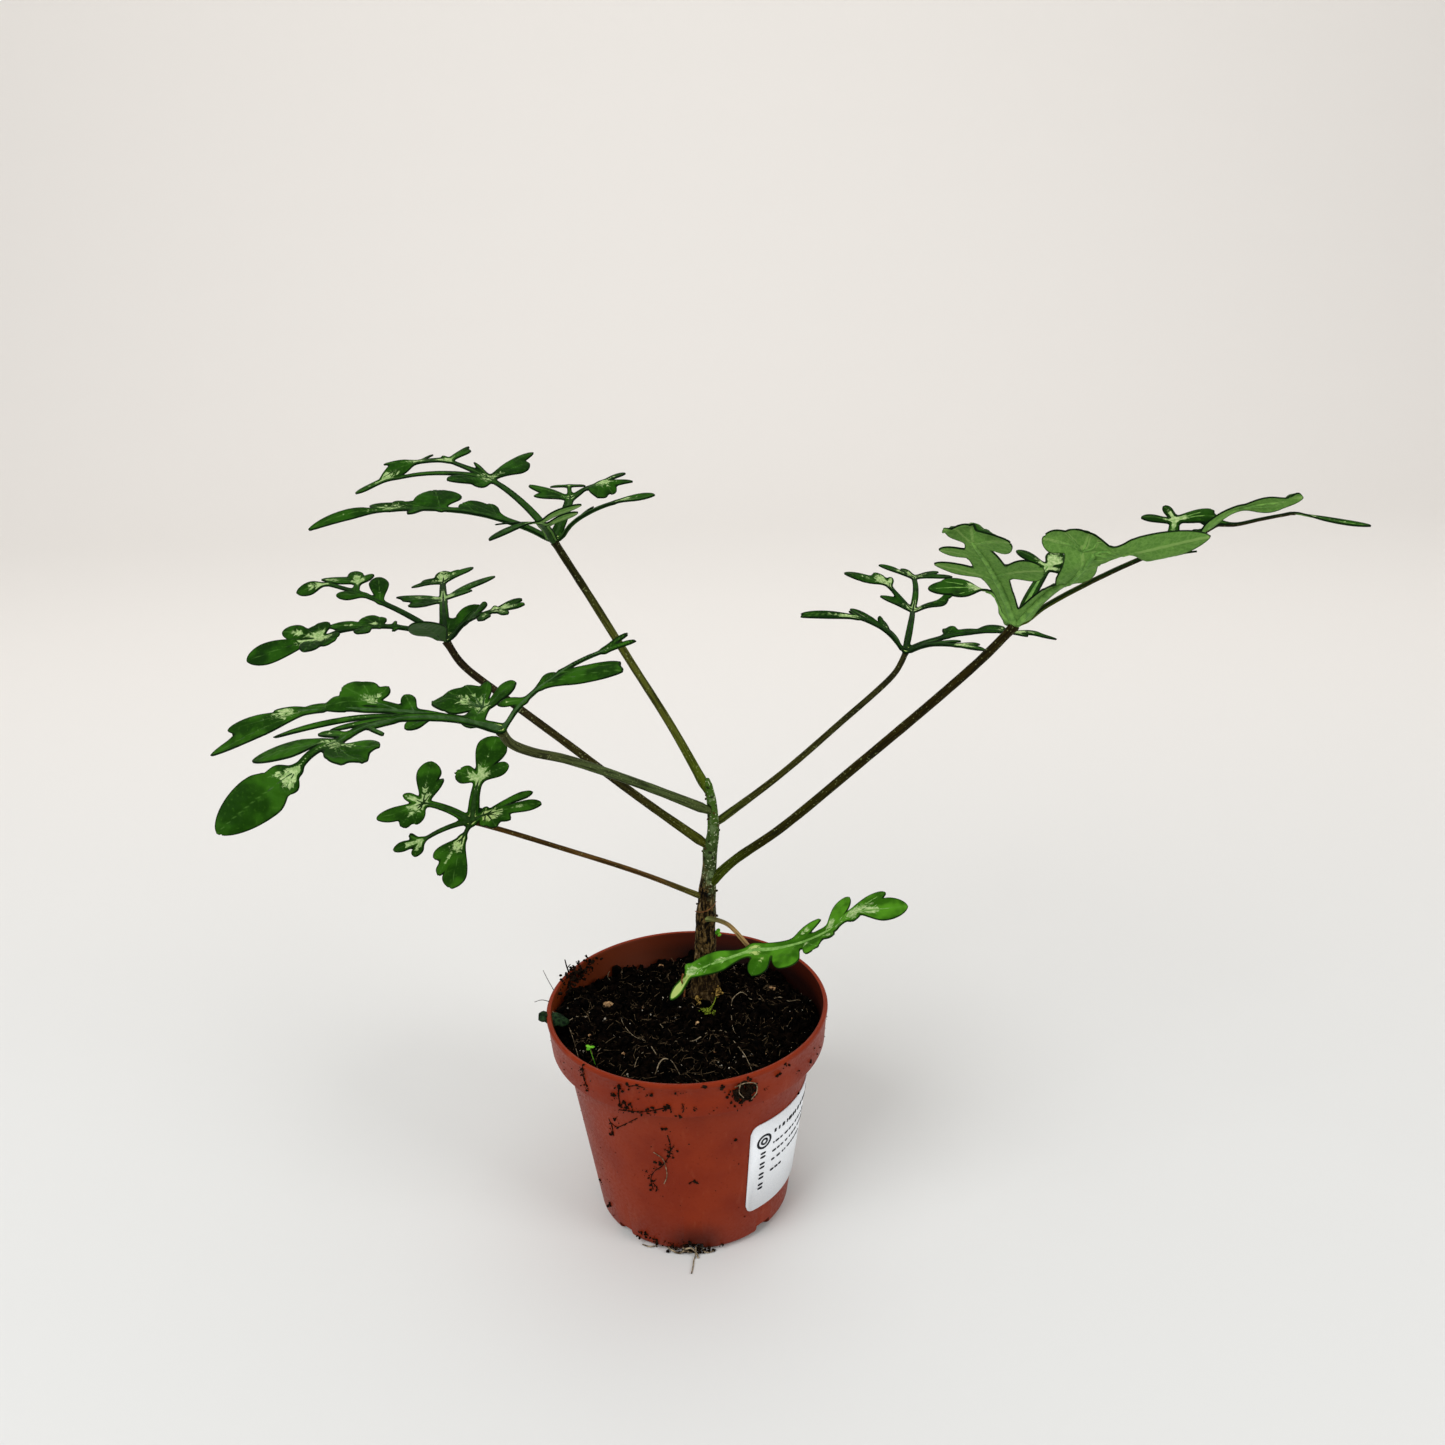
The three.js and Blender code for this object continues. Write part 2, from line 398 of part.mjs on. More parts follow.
// Douglas-Peucker on a closed loop, split at its two points farthest apart
function thin(loop) {
  const far = loop.reduce((best, p,
    i) => (p.distanceTo(loop[0]) > loop[best].distanceTo(loop[0]) ? i : best), 0);
  const run = (from, to) => {
    const a = loop[from], b = loop[to % loop.length];
    let worst = -1, most = OUTLINE_TOLERANCE;
    for (let i = from + 1; i < to; i++) {
      const span = Math.max(a.distanceTo(b), 1e-6), p = loop[i];
      const off = Math.abs((b.x - a.x) * (a.y - p.y) - (a.x - p.x) * (b.y - a.y)) / span;
      if (off > most) [worst, most] = [i, off];
    }
    if (worst < 0 && to - from > 1 && a.distanceTo(b) > OUTLINE_CHORD) worst = (from + to) >> 1;
    return worst < 0 ? [a] : [...run(from, worst), ...run(worst, to)];
  };
  return far === 0 ? loop : [...run(0, far), ...run(far, loop.length)];
}

// A plane mesh of the outline with extra points along the ribs, its edges flipped until they are Delaunay
function planeMesh(loops, inner) {
  const points = loops.flat();
  const triangles = THREE.ShapeUtils.triangulateShape(loops[0], loops.slice(1)).map((t) => [...t]);
  const side = (a, b, p) => (b.x - a.x) * (p.y - a.y) - (b.y - a.y) * (p.x - a.x);
  for (const t of triangles) if (side(...t.map((i) => points[i])) < 0) t.reverse();
  for (const p of inner) {
    const home = triangles.findIndex((t) => {
      const [a, b, c] = t.map((i) => points[i]);
      return side(a, b, p) > 1e-3 && side(b, c, p) > 1e-3 && side(c, a, p) > 1e-3;
    });
    if (home < 0) continue;
    const [a, b, c] = triangles[home], n = points.push(p) - 1;
    triangles.splice(home, 1, [a, b, n], [b, c, n], [c, a, n]);
    relax(points, triangles);
  }
  relax(points, triangles);
  return { points, triangles };
}
function relax(points, triangles) {
  const inCircle = (a, b, c, d) => {
    const [ax, ay, bx, by, cx, cy] = [a.x - d.x, a.y - d.y, b.x - d.x, b.y - d.y, c.x - d.x, c.y - d.y];
    const [aa, bb, cc] = [ax * ax + ay * ay, bx * bx + by * by, cx * cx + cy * cy];
    return ax * (by * cc - bb * cy) - ay * (bx * cc - bb * cx) + aa * (bx * cy - by * cx) > 1e-7;
  };
  for (let pass = 0; pass < 60; pass++) {
    const owner = new Map();
    triangles.forEach((t, n) => t.forEach((v, k) => owner.set(v + "," + t[(k + 1) % 3], [n, k])));
    const touched = new Set();
    let flips = 0;
    triangles.forEach((t, n) => {
      for (let k = 0; k < 3 && !touched.has(n); k++) {
        const [a, b, c] = [t[k], t[(k + 1) % 3], t[(k + 2) % 3]];
        const other = owner.get(b + "," + a);
        if (!other || touched.has(other[0])) continue;
        const d = triangles[other[0]][(other[1] + 2) % 3];
        if (!inCircle(points[a], points[b], points[c], points[d])) continue;
        triangles[n] = [a, d, c];
        triangles[other[0]] = [d, b, c];
        touched.add(n).add(other[0]);
        flips++;
      }
    });
    if (!flips) return;
  }
}

// One blade: the plane mesh lifted into space on both faces, with a keel under each rib
function blade([number, palm, lean, specs]) {
  const normal = direction(lean[0], 90 - lean[1]);
  const along = vec(1, 0, 0).addScaledVector(normal, -normal.x).normalize();
  const leaf = { frame: { point: vec(...palm), along, normal, side: normal.clone().cross(along) } };
  const ribs = [];
  for (const spec of specs) growRib(null, spec, leaf, ribs);
  const loops = contour(ribs);
  const inner = [new THREE.Vector2(0, 0)];
  for (const rib of ribs) {
    const rows = Math.max(1, Math.round(rib.length / 6));
    for (let i = 1; i <= rows; i++) {
      const reached = (rib.length * (i - (rib.stalk ? 0 : 0.45))) / rows;
      const p = rib.flat.clone().addScaledVector(rib.course, reached), rimPoints = loops.flat();
      const clear = inner.every((q) => q.distanceTo(p) > 2) && rimPoints.every((q) => q.distanceTo(p) > 0.7);
      if (clear && outlineField(ribs, p.x, p.y) < -0.7) inner.push(p);
    }
  }
  const { points, triangles } = planeMesh(loops, inner);
  const rim = loops.flat().length, step = 0.4, n = points.length;
  const upper = [], lower = [];
  points.forEach((p, i) => {
    const here = lift(ribs, p.x, p.y);
    const du = lift(ribs, p.x + step, p.y).sub(lift(ribs, p.x - step, p.y));
    const dv = lift(ribs, p.x, p.y + step).sub(lift(ribs, p.x, p.y - step));
    const out = du.cross(dv).normalize();
    upper.push(here.clone().addScaledVector(out, BLADE_THICK / 2));
    lower.push(here.clone().addScaledVector(out, -BLADE_THICK / 2 - (i < rim ? 0 : KEEL)));
  });
  const faces = triangles.flatMap(([a, b, c]) => [[a, b, c], [n + a, n + c, n + b]]);
  let first = 0;
  for (const loop of loops) {
    loop.forEach((_, i) => {
      const a = first + i, b = first + ((i + 1) % loop.length);
      faces.push([b, a, n + a], [b, n + a, n + b]);
    });
    first += loop.length;
  }
  return surface([...upper, ...lower], faces);
}

// The pot: one turned wall with a stepped lip, and round drain holes through the edge of its base
const bodyRadius = (z) =>
  POT_BASE_RADIUS + ((POT_BODY_TOP_RADIUS - POT_BASE_RADIUS) * z) / (POT_HEIGHT - POT_LIP_HEIGHT);
function pot() {
  const lipFoot = POT_HEIGHT - POT_LIP_HEIGHT;
  const outer = [[0, 0], [POT_BASE_RADIUS - POT_FILLET - 1, 0], [POT_BASE_RADIUS - 0.9, 0.7],
    [bodyRadius(POT_FILLET), POT_FILLET],
    [bodyRadius(LABEL_BOTTOM - 2), LABEL_BOTTOM - 2], [bodyRadius(LABEL_TOP + 2), LABEL_TOP + 2],
      [POT_BODY_TOP_RADIUS, lipFoot - 0.4],
    [POT_LIP_FOOT_RADIUS - 0.5, lipFoot], [POT_LIP_FOOT_RADIUS, lipFoot + 0.5],
      [POT_RIM_RADIUS - 0.4, POT_HEIGHT - 1.6],
    [POT_RIM_RADIUS, POT_HEIGHT - 0.8], [POT_RIM_RADIUS - 0.4, POT_HEIGHT]];
  const inner = [[POT_RIM_RADIUS - POT_WALL, POT_HEIGHT - 0.1],
    [POT_RIM_RADIUS - POT_WALL - 0.4, POT_HEIGHT - 1],
    [POT_LIP_FOOT_RADIUS - POT_WALL, lipFoot + POT_WALL + 0.6],
      [POT_BODY_TOP_RADIUS - POT_WALL, lipFoot - 0.6],
    [bodyRadius(POT_FILLET + 1) - POT_WALL, POT_FILLET + 1],
      [POT_BASE_RADIUS - POT_FILLET - 1.6, POT_WALL], [0, POT_WALL]];
  const profile = [...outer, ...inner].map(([r, z]) => new THREE.Vector2(Math.max(r, 0), z));
  const wall = new THREE.LatheGeometry(profile, POT_SIDES, Math.PI / 2);
  wall.rotateX(Math.PI / 2);
  const drills = Array.from({ length: DRAIN_HOLES }, (_, i) => {
    const a = (i / DRAIN_HOLES) * 2 * Math.PI;
    return new THREE.CylinderGeometry(DRAIN_RADIUS, DRAIN_RADIUS, 6, 16).rotateX(Math.PI / 2)
      .translate(DRAIN_CIRCLE * Math.cos(a), DRAIN_CIRCLE * Math.sin(a), 1);
  });
  return cut(wall, ...drills);
}
// The label: a thin patch that follows the taper of the wall, with rounded corners
function label() {
  const across = [], points = [], faces = [], middle = bodyRadius((LABEL_BOTTOM + LABEL_TOP) / 2);
  for (let a = LABEL_START_DEG; a <= LABEL_END_DEG; a += 360 / POT_SIDES) across.push(a);
  across.splice(1, 0, LABEL_START_DEG + 1.5);
  across.splice(-1, 0, LABEL_END_DEG - 1.5);
  for (const a of across) {
    const fromEnd = radians(Math.min(a - LABEL_START_DEG, LABEL_END_DEG - a)) * middle;
    const inCorner = Math.max(LABEL_CORNER - fromEnd, 0);
    const inset = LABEL_CORNER - Math.sqrt(LABEL_CORNER ** 2 - inCorner ** 2);
    for (const z of [LABEL_BOTTOM + inset, LABEL_TOP - inset])
      for (const off of [0.15, 0.15 + LABEL_THICK]) {
        const r = bodyRadius(z) + off;
        points.push(vec(r * Math.cos(radians(a)), r * Math.sin(radians(a)), z));
      }
  }
  const last = across.length - 1;
  for (let i = 0; i < last; i++) {
    const p = i * 4, q = p + 4; // low inside, low outside, high inside, high outside
    for (const [a, b, c, d] of [[p + 1, q + 1, q + 3, p + 3], [q, p, p + 2, q + 2],
      [p, q, q + 1, p + 1], [p + 3, q + 3, q + 2, p + 2]])
      faces.push([a, b, c], [a, c, d]);
  }
  faces.push([0, 1, 3], [0, 3, 2]);
  faces.push([last * 4 + 1, last * 4, last * 4 + 2], [last * 4 + 1, last * 4 + 2, last * 4 + 3]);
  return surface(points, faces);
}
// The stem with its swollen foot, and the same a little fatter to cut room for it
const stemLine = STEM.map(([x, y, z]) => vec(x, y, z));
function stemTube(extra, line = stemLine) {
  const lengths = line.map((p, i) => (i ? p.distanceTo(line[i - 1]) : 0));
  const total = lengths.reduce((a, b) => a + b, 0);
  const marks = lengths.map((_, i) => lengths.slice(0, i + 1).reduce((a, b) => a + b, 0) / total);
  const radiusAt = (share, a) => {
    let i = marks.findIndex((m) => m >= share - 1e-9);
    i = Math.max(i, 1);
    const f = (share - marks[i - 1]) / (marks[i] - marks[i - 1]);
    const r = THREE.MathUtils.lerp(STEM[i - 1][3], STEM[i][3], f);
    return r * (1 + 0.06 * Math.sin(3 * a + share * 40)) + extra;
  };
  return tube(line, radiusAt, STEM_SIDES, 30);
}
// The soil: a heaped, lumpy plug that fills the pot up to a finger below the rim
const heap = (x, y) => SOIL_LEVEL + 1.1 * Math.sin(x / 5.1 + 1) * Math.cos(y / 6.3)
  + 0.7 * Math.sin(x / 2.3 + y / 3.1) + 4.5 * Math.exp(-((x + 31) ** 2 + (y + 1) ** 2) / 150)
  + 3.2 * Math.exp(-((x - 5) ** 2 + (y - 12) ** 2) / 110);
function soil() {
  const rings = 10, sides = 40, points = [vec(0, 0, heap(0, 0))], faces = [];
  const bore = (z) => (z > POT_HEIGHT - POT_LIP_HEIGHT ? POT_LIP_FOOT_RADIUS - 1.2 : bodyRadius(z));
  const edge = (z) => bore(z) - POT_WALL - CLEARANCE - 0.35;
  const push = (r, a, z) => points.push(vec(r * Math.cos(a), r * Math.sin(a), z));
  for (let i = 1; i <= rings; i++)
    for (let k = 0; k < sides; k++) {
      const a = (2 * Math.PI * k) / sides, r = (edge(POT_HEIGHT) * i) / rings;
      push(r, a, heap(r * Math.cos(a), r * Math.sin(a)));
    }
  const walls = [POT_HEIGHT - POT_LIP_HEIGHT + 2.6, POT_HEIGHT - POT_LIP_HEIGHT - 1.4, POT_FILLET + 2];
  walls.forEach((z, n) => {
    for (let k = 0; k < sides; k++) push(edge(n === 0 ? POT_HEIGHT : z), (2 * Math.PI * k) / sides, z);
  });
  for (let k = 0; k < sides; k++) push(POT_BASE_RADIUS - POT_FILLET - 2.4, (2 * Math.PI * k) / sides,
    POT_WALL + CLEARANCE);
  const bottom = points.push(vec(0, 0, POT_WALL + CLEARANCE)) - 1;
  for (let k = 0; k < sides; k++) {
    const m = (k + 1) % sides;
    faces.push([0, 1 + k, 1 + m]);
    for (let i = 0; i < rings + walls.length; i++) {
      const a = 1 + i * sides + k, b = 1 + i * sides + m;
      faces.push([a, a + sides, b + sides], [a, b + sides, b]);
    }
    const low = 1 + (rings + walls.length) * sides;
    faces.push([low + k, bottom, low + m]);
  }
  const [x, y, z] = STEM[0];
  const below = new THREE.CylinderGeometry(4.6, 4.6, 3, 12).rotateX(Math.PI / 2).translate(x, y, z - 0.8);
  return cut(surface(points, faces), stemTube(CLEARANCE), below);
}

const COLOURS = {
  pot: 0x8c3a28, label: 0xf2f1ee, soil: 0x1d1815, stem: 0x6b6a45, petiole: 0x54502c, blade: 0x1f6b2a,
};
const root = new THREE.Group();
root.name = "potted_caudex_climber";
function add(name, geometry, colour, roughness = 0.8) {
  const mesh = new THREE.Mesh(geometry, new THREE.MeshStandardMaterial({ color: colour, roughness }));
  mesh.name = name;
  root.add(mesh);
}
add("pot", pot(), COLOURS.pot, 0.55);
add("pot_label", label(), COLOURS.label, 0.7);
add("soil", soil(), COLOURS.soil, 1);
add("stem", stemTube(0), COLOURS.stem);
const room = stemTube(CLEARANCE);
for (const [number, line, foot, head] of PETIOLES) {
  const spine = line.map((p) => vec(...p));
  const radiusAt = (share) => THREE.MathUtils.lerp(foot, head, share) * (1 + 0.5 * Math.exp(-share * 14));
  const rod = tube(spine, radiusAt, PETIOLE_SIDES, 16);
  add("petiole_" + number, cut(rod, room), COLOURS.petiole);
}
for (const leaf of LEAVES) add("blade_" + leaf[0], blade(leaf), COLOURS.blade, 0.6);

export default root;
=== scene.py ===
"""Looks for a young caudex climber in a 9 cm nursery pot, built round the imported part.

Blender is in metres with +Z up; the lists below are in millimetres. The pot stands on z = 0, +X is to
the right and -Y faces the viewer.
"""

import math
import random

import bmesh
import bpy
import numpy as np
from mathutils import Matrix, Vector, noise


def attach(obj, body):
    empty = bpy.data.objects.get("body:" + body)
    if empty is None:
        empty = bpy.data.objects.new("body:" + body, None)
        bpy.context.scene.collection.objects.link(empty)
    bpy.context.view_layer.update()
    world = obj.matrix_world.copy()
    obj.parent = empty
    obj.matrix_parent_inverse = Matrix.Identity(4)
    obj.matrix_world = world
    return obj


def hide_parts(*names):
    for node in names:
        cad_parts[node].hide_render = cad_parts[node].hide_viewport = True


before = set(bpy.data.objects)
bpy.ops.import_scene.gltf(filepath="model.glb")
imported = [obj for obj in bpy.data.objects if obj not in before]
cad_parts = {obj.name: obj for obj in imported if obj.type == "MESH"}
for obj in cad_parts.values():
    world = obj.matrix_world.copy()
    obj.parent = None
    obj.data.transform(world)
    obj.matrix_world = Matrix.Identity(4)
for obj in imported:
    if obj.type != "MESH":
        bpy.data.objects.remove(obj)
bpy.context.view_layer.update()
MM = 0.001

# The pot: rim, lip and body, as turned radii and heights
RIM_RADIUS, POT_HEIGHT = 45, 74
LIP_HEIGHT, LIP_FOOT_RADIUS = 12.2, 43.9
BODY_TOP_RADIUS, BASE_RADIUS = 39.8, 31
POT_WALL, POT_FILLET = 1.4, 2.4
DRAIN_HOLES, DRAIN_RADIUS, DRAIN_CIRCLE = 8, 3.4, 29.6
# The label on the wall, in degrees round the pot and millimetres up it
LABEL_BOTTOM, LABEL_TOP, LABEL_START, LABEL_END, LABEL_CORNER, LABEL_THICK = 13, 49, -60, 40, 3, 0.35
SOIL_LEVEL = 64.5
# The blades
BLADE_THICK = 0.45
WEB_SHARPNESS, WEB_TRIM, BEND_SHARPNESS = 2.6, 0.25, 0.8
BELLY, RIB_STEPS = 0.62, 12  # where along a lobe it is widest
CELL = 0.55  # the blade's mesh, fine enough for its side veins
VEIN_SPACING = 2.8
PATCH_SPREAD = 4.2  # the widest a pale patch at a fork gets
YOUNG_TIPS = {"7": 2}  # leaf, and its rib whose lobe is still pale yellow-green
SHADED_LOBES = {"2": 41}  # leaf, and its rib whose lobe is deep green on both sides: its underside is painted shade
# The steps along and sides round the stalks and the stem
STALK_STEPS, STALK_SIDES, STEM_STEPS, STEM_SIDES = 64, 18, 190, 44
# How far the label and its print stand off the wall, and how thick the ink is
LABEL_OFF, PRINT_OFF, INK_THICK = 0.12, 0.55, 0.06
# The soil: its disc, and how many crumbs, clods, grains of grit and fibres lie on it
SOIL_RADIUS, SOIL_CELLS = 42.2, 150
CRUMBS, CLODS, GRAINS, FIBRES = 4600, 240, 640, 460
BATCH = 200  # of them are made at a time
CRUMB_FIELD, FIBRE_FIELD = 41.3, 39  # the radii that they lie within
CLOD_TURN, CLOD_HEIGHT = -67.3, 68.4  # the clod on the rim
# How many lumps: loose flecks on the wall, the clod, damp soil at the hole, moss, soil heaped over the rim
WALL_FLECKS, CLOD_LUMPS, DAMP_LUMPS, MOSS_LUMPS, RIM_LUMPS = 260, 240, 70, 90, 150

# Each leaf: number, palm centre, lean of the palm's normal (heading, degrees from upright), ribs.
# Each rib: place along its parent (0 to 1), heading, rise (degrees), length, width (mm), and where it
# isn't a plain lobe: swing and arch (degrees over its length), the ribs that it carries, its roll
# and where along it a lobe is widest. A sixth value on its own is that last one.
LEAVES = [
  ["1", [-34, 20, 222], [-90, 10], [
    [0, -180, 29, 49, 2.6, -3, -35, [
      [1, 180, 4, 26.5, 4.9, -1, -32, [], -22, 0.5], [0.7, 108, 23, 11, 15, 0.55],
      [0.9, 160, 6, 13, 5], [0.88, 149, 17, 7.5, 5], [0.78, 157, 9, 9, 4], [0.5, 127, 20, 6.5, 6],
      [0.3, 156, 25, 14.5, 7, 0.7], [0.36, 111, 24, 8, 4], [0.8, -141, 1, 6, 3]]],
    [0, 130, 34, 34, 2.6, 5, -21, [
      [1, 54, 18, 21, 4.4, 0.55], [1, 41, 15, 15, 7.5, 0.7],
      [1, -145, 13, 14.5, 6], [0.97, -135, -3, 7, 5], [0.97, 127, 26, 12, 1.8],
      [1, 166, 11, 35, 2.4, 1, -27, [[1, -172, -13, 10.5, 4.4]]],
      [1, 144, 15, 18, 2.2, -3, -6, [
        [1, 62, 18, 12, 2], [1, 52, 14, 10, 3], [1, 133, 24, 4, 2],
        [1, 172, 3, 22, 3, 0.5],
        [1, 165, 3, 9.5, 2, 0, -12, [
          [1, 60, 15, 6.5, 1.8], [1, -160, -8, 13.5, 6, 0, -12, [], -30, 0.5]]]]]]],
    [0, -102, 38, 20, 3.6, 9, -20, [
      [1, -28, 29, 16.5, 4.5, 0.6], [0.6, -32, 29, 14, 4],
      [1, -136, 6, 17.5, 5, 0, -24, [], 0, 0.66], [1, -169, 7, 13, 1.8]]],
    [0, 72, 30, 22, 3.4, 16, -21, [
      [1, 155, 16, 15, 4], [1, 174, 9, 11.5, 4],
      [1, 97, 21, 8, 1.8, 0, -12, [[1, 174, 2, 6.5, 1.8], [1, -4, 4, 5.5, 1.8]]],
      [1, 39, 19, 13, 2.5, 0, -12, [
        [1, -4, 6, 9.5, 3], [1, 48, 12, 10, 3], [0.9, -93, -12, 8.5, 7, 0, -12, [], -30, 0.6],
        [1, -59, -19, 6.5, 6, 0, -12, [], -30, 0.6]]]]],
    [0, -14, 46, 23, 1.8, -3, -31, [
      [1, -1, 15, 12, 4.6, 0.6], [0.5, 58, 19, 6.5, 2]]]]],
  ["2", [-72, 35, 187], [-90, 14], [
    [0, -176, 27, 39.5, 2, 0, -47, [
      [0.54, 131, 12, 8.5, 7], [0.52, 104, 15, 6, 5], [0.62, 165, 3, 13, 5.5, 0.5],
      [0.6, -105, 9, 8.5, 5.5], [0.42, 82, 19, 3.5, 1.6], [0.38, -114, -1, 3.5, 1.6],
      [1, 108, 17, 9, 8], [1, 149, 4, 17, 6.2, 0, -12, [], -20, 0.62], [1, -47, 14, 9, 8],
      [1, -94, 10, 16.5, 6, 0, -12, [], -30, 0.62], [1, -164, -6, 23.5, 7.8, 3, -11, [], -34, 0.7]]],
    [0, 157, 30, 46, 2.2, -2, -25, [
      [1, 176, -9, 11, 5.5, 0, -13, [], -30, 0.55], [0.55, 102, 32, 12, 6.8, 0.7],
      [0.68, -167, 11, 9, 5.5, 0.6],
      [0.76, 93, 18, 6, 2.4, 0, -11, [
        [1, 166, 8, 13, 5.5, 0.45], [1, 109, 19, 8, 5.5],
        [1, 45, 20, 6.5, 4.2, 0.5]]]]],
    [0, 100, 27, 28, 3.2, 0, -33, [
      [1, 167, 5, 17, 6, 0.5], [0.98, 175, 2, 14, 5, 0.6],
      [0.85, 178, -2, 12, 6.5, 0.5], [1, 9, 18, 10, 5],
      [1, 41, 15, 21, 6.5, 0.6],
      [1, 100, 9, 17, 2.6, 0, -12, [
        [1, 182, -2, 11, 4.4], [1, 163, 6, 8, 5], [1, 91, 28, 6.5, 7], [1, 54, 21, 9, 5],
        [1, 42, 17, 13, 5]]]]],
    [0, -7, 50, 20, 2, 4, -44, [
      [0.55, 77, 23, 9, 8], [1, 28, 20, 9, 3.6], [1, -9, 20, 9.5, 3.6], [0.9, 4, 51, 2.5, 4],
      [1, -54, 11, 7, 3.2], [0.78, -83, 6, 7, 5], [0.6, -100, 10, 5, 4]]],
    [0, 49, 32, 16.5, 9, 0.7],
    [0, -108, 33, 24, 11, 11, -6, [], 25, 0.55],
    [0, 86, 26, 10, 7]]],
  ["3", [-43, -52, 191], [-90, 26], [
    [0, 173, 14, 61, 2.6, -16, -28, [
      [0.95, -170, -4, 19.5, 6], [0.9, -164, -13, 28, 6, 0.45],
      [0.45, 146, 11, 9.5, 3, 0, -12, [
        [1, 121, 24, 8, 7], [1, -174, 9, 13.5, 6.5], [1, 47, 33, 6, 5], [1, 151, 20, 10.5, 9]]],
      [0.38, 120, 29, 7.5, 4.4], [0.3, -141, -5, 8.5, 4.5], [0.7, 158, -1, 13.5, 3],
      [0.82, 170, 2, 15, 3.6], [0.33, -169, 8, 40.5, 2.4, 0, -24],
      [0.12, 80, 14, 8, 5, 0, -12, [
        [1, 21, 37, 11, 7], [1, 88, 28, 10.5, 4], [1, 122, 23, 11, 7], [1, 163, 6, 14.5, 9],
        [1, -175, 0, 10, 6], [1, 147, 21, 12.5, 9]]]]],
    [0, -156, 28, 52, 2.6, 46, -29, [
      [1, 171, -5, 21.5, 8, 2, -18, [], 0, 0.5], [1, -24, 11, 13, 7], [1, -49, 3, 13.5, 9],
      [1, -69, -2, 12, 7], [0.75, -56, 7, 8, 3.6], [1, -84, -11, 9, 4], [0.6, 175, -4, 17, 2.5],
      [0.9, 164, 2, 8, 4],
      [1, -129, 6, 12, 2.4, 9, -37, [
        [1, -150, -23, 22, 11.5, 0, -12, [], -5, 0.4], [1, 175, -16, 8, 6], [1, -105, -14, 7, 6]]]]],
    [0, 13, 51, 34, 1.6, 5, -38, [
      [1, 42, 24, 9, 2], [1, 5, 21, 9, 2], [0.28, 165, -3, 8, 3], [0.62, -14, 7, 18, 2.8, 0, 14],
      [0.45, -21, 25, 24.5, 5.2, 0, -20, [], 0, 0.5], [0.44, 52, 22, 6, 4]]]]],
  ["4", [-61, -10, 145], [-90, 32], [
    [0, 75, 71, 12.5, 3.2, -4, -30, [
      [1, 160, 18, 7, 6.6, 0.66], [1, 0, 32, 10.5, 5, 0.66],
      [1, 70, 38, 16, 9.8, 0.72]]],
    [0, 172, 34, 15.5, 2.6, -3, -29, [
      [1, 85, 41, 14.5, 7.6, 0.68], [1, 37, 45, 9.5, 3.2], [1, 163, 22, 7, 3.4],
      [1, -165, -19, 14.5, 5.2, 0, 14, [], 0, 0.6], [1, -133, -19, 9.5, 5, 0.6],
      [1, -108, -24, 7, 5]]],
    [0, -168, -5, 16, 1.8, -5, -26, [
      [1, -169, -8, 9, 3.8], [1, -106, -20, 6, 4.4], [1, 155, 5, 5, 1.8]]],
    [0, -120, -31, 6, 1.6, 0, -11, [
      [1, -136, -8, 11, 4, 0.7], [1, -95, -21, 18, 7.8, 0.74],
      [1, -124, -28, 13.5, 4, 0.85]]],
    [0, 3, 29, 5, 2.4, 0, -12, [
      [1, 34, 16, 16, 3.4, 0.75], [1, 0, 16, 17, 4.4, 0.7],
      [1, -18, 0, 8, 3.6], [1, -54, -15, 6, 5], [0.9, -94, -12, 4.5, 4], [0.7, 65, 29, 3.5, 2.4]]]]],
  ["5", [92, -35, 210], [-90, -8], [
    [0, -131, 56, 36.5, 5, 3, -16, [
      [0.48, 175, 22, 17, 5], [0.75, 173, 19, 12, 5], [0.97, 197, 29, 9.5, 8], [0.97, 171, 55, 8.5, 9],
      [0.97, -50, 18, 11, 11.5, 0.5], [0.55, -38, 21, 14, 9.5, 0.7],
      [0.98, -158, 88, 6.5, 12]]],
    [0, -131, 56, 38, 9, 3, -16, [], 0, 0.7],
    [0, -59, 49, 39.5, 6.4, -12, -26, [
      [1, -18, 25, 26, 9.5, 0, -12, [], -50, 0.35], [0.8, -20, 21, 28, 3, 0.5],
      [1, 23, 33, 10.5, 7], [0.95, 17, 23, 9, 6, 0, -12, [], 40],
      [0.74, -99, 78, 8.5, 9, 0, -12, [
        [1, -171, 20, 10, 7.5], [1, -150, 45, 7, 9], [1, -70, 50, 6.5, 9], [1, -52, 31, 7.5, 6.5]]]]],
    [0, -59, 49, 39, 9, -12, -26, [], 0, 0.8],
    [0, 8, 29, 93, 1.8, 25, -34, [
      [1, -8, -13, 21.5, 3.8, 1, 6, [], 25],
      [0.5, 66, 36, 10, 3, -1, -11, [
        [1, 162, 8, 9, 3.6], [1, 103, 27, 7, 3], [1, 15, 17, 12, 4], [1, 5, 11, 12, 4]]],
      [0.6, -23, 55, 13, 4, -1, -30, [
        [1, 3, 24, 17.5, 6.8, 0, -34, [], -45, 0.5], [1, -19, 10, 11.5, 5, 0, -12, [], -45],
        [1, -25, 5, 13, 4.4]], -30]]],
    [0, 54, 31, 26.5, 3.4, 10, -23, [
      [1, 149, 25, 10, 4.6], [1, 61, 28, 8, 5], [1, 23, 10, 9, 5], [0.9, 3, -7, 5.5, 4]]],
    [0, 155, 74, 12, 2, 7, -58, [
      [1, 178, 8, 15.5, 6, 0, -12, [], -45], [1, 161, 14, 12, 5, 0, -12, [], -40],
      [1, -161, 5, 10, 3.6, 0, -12, [], -40]]],
    [0, -184, 24, 6, 1.8]]],
  ["6", [74, 45, 175], [-90, 12], [
    [0, -180, 57, 20.5, 2, 0, -42, [
      [1, -182, 11, 18, 3.6, 0.5], [0.97, -180, 8, 19, 3, 0.5],
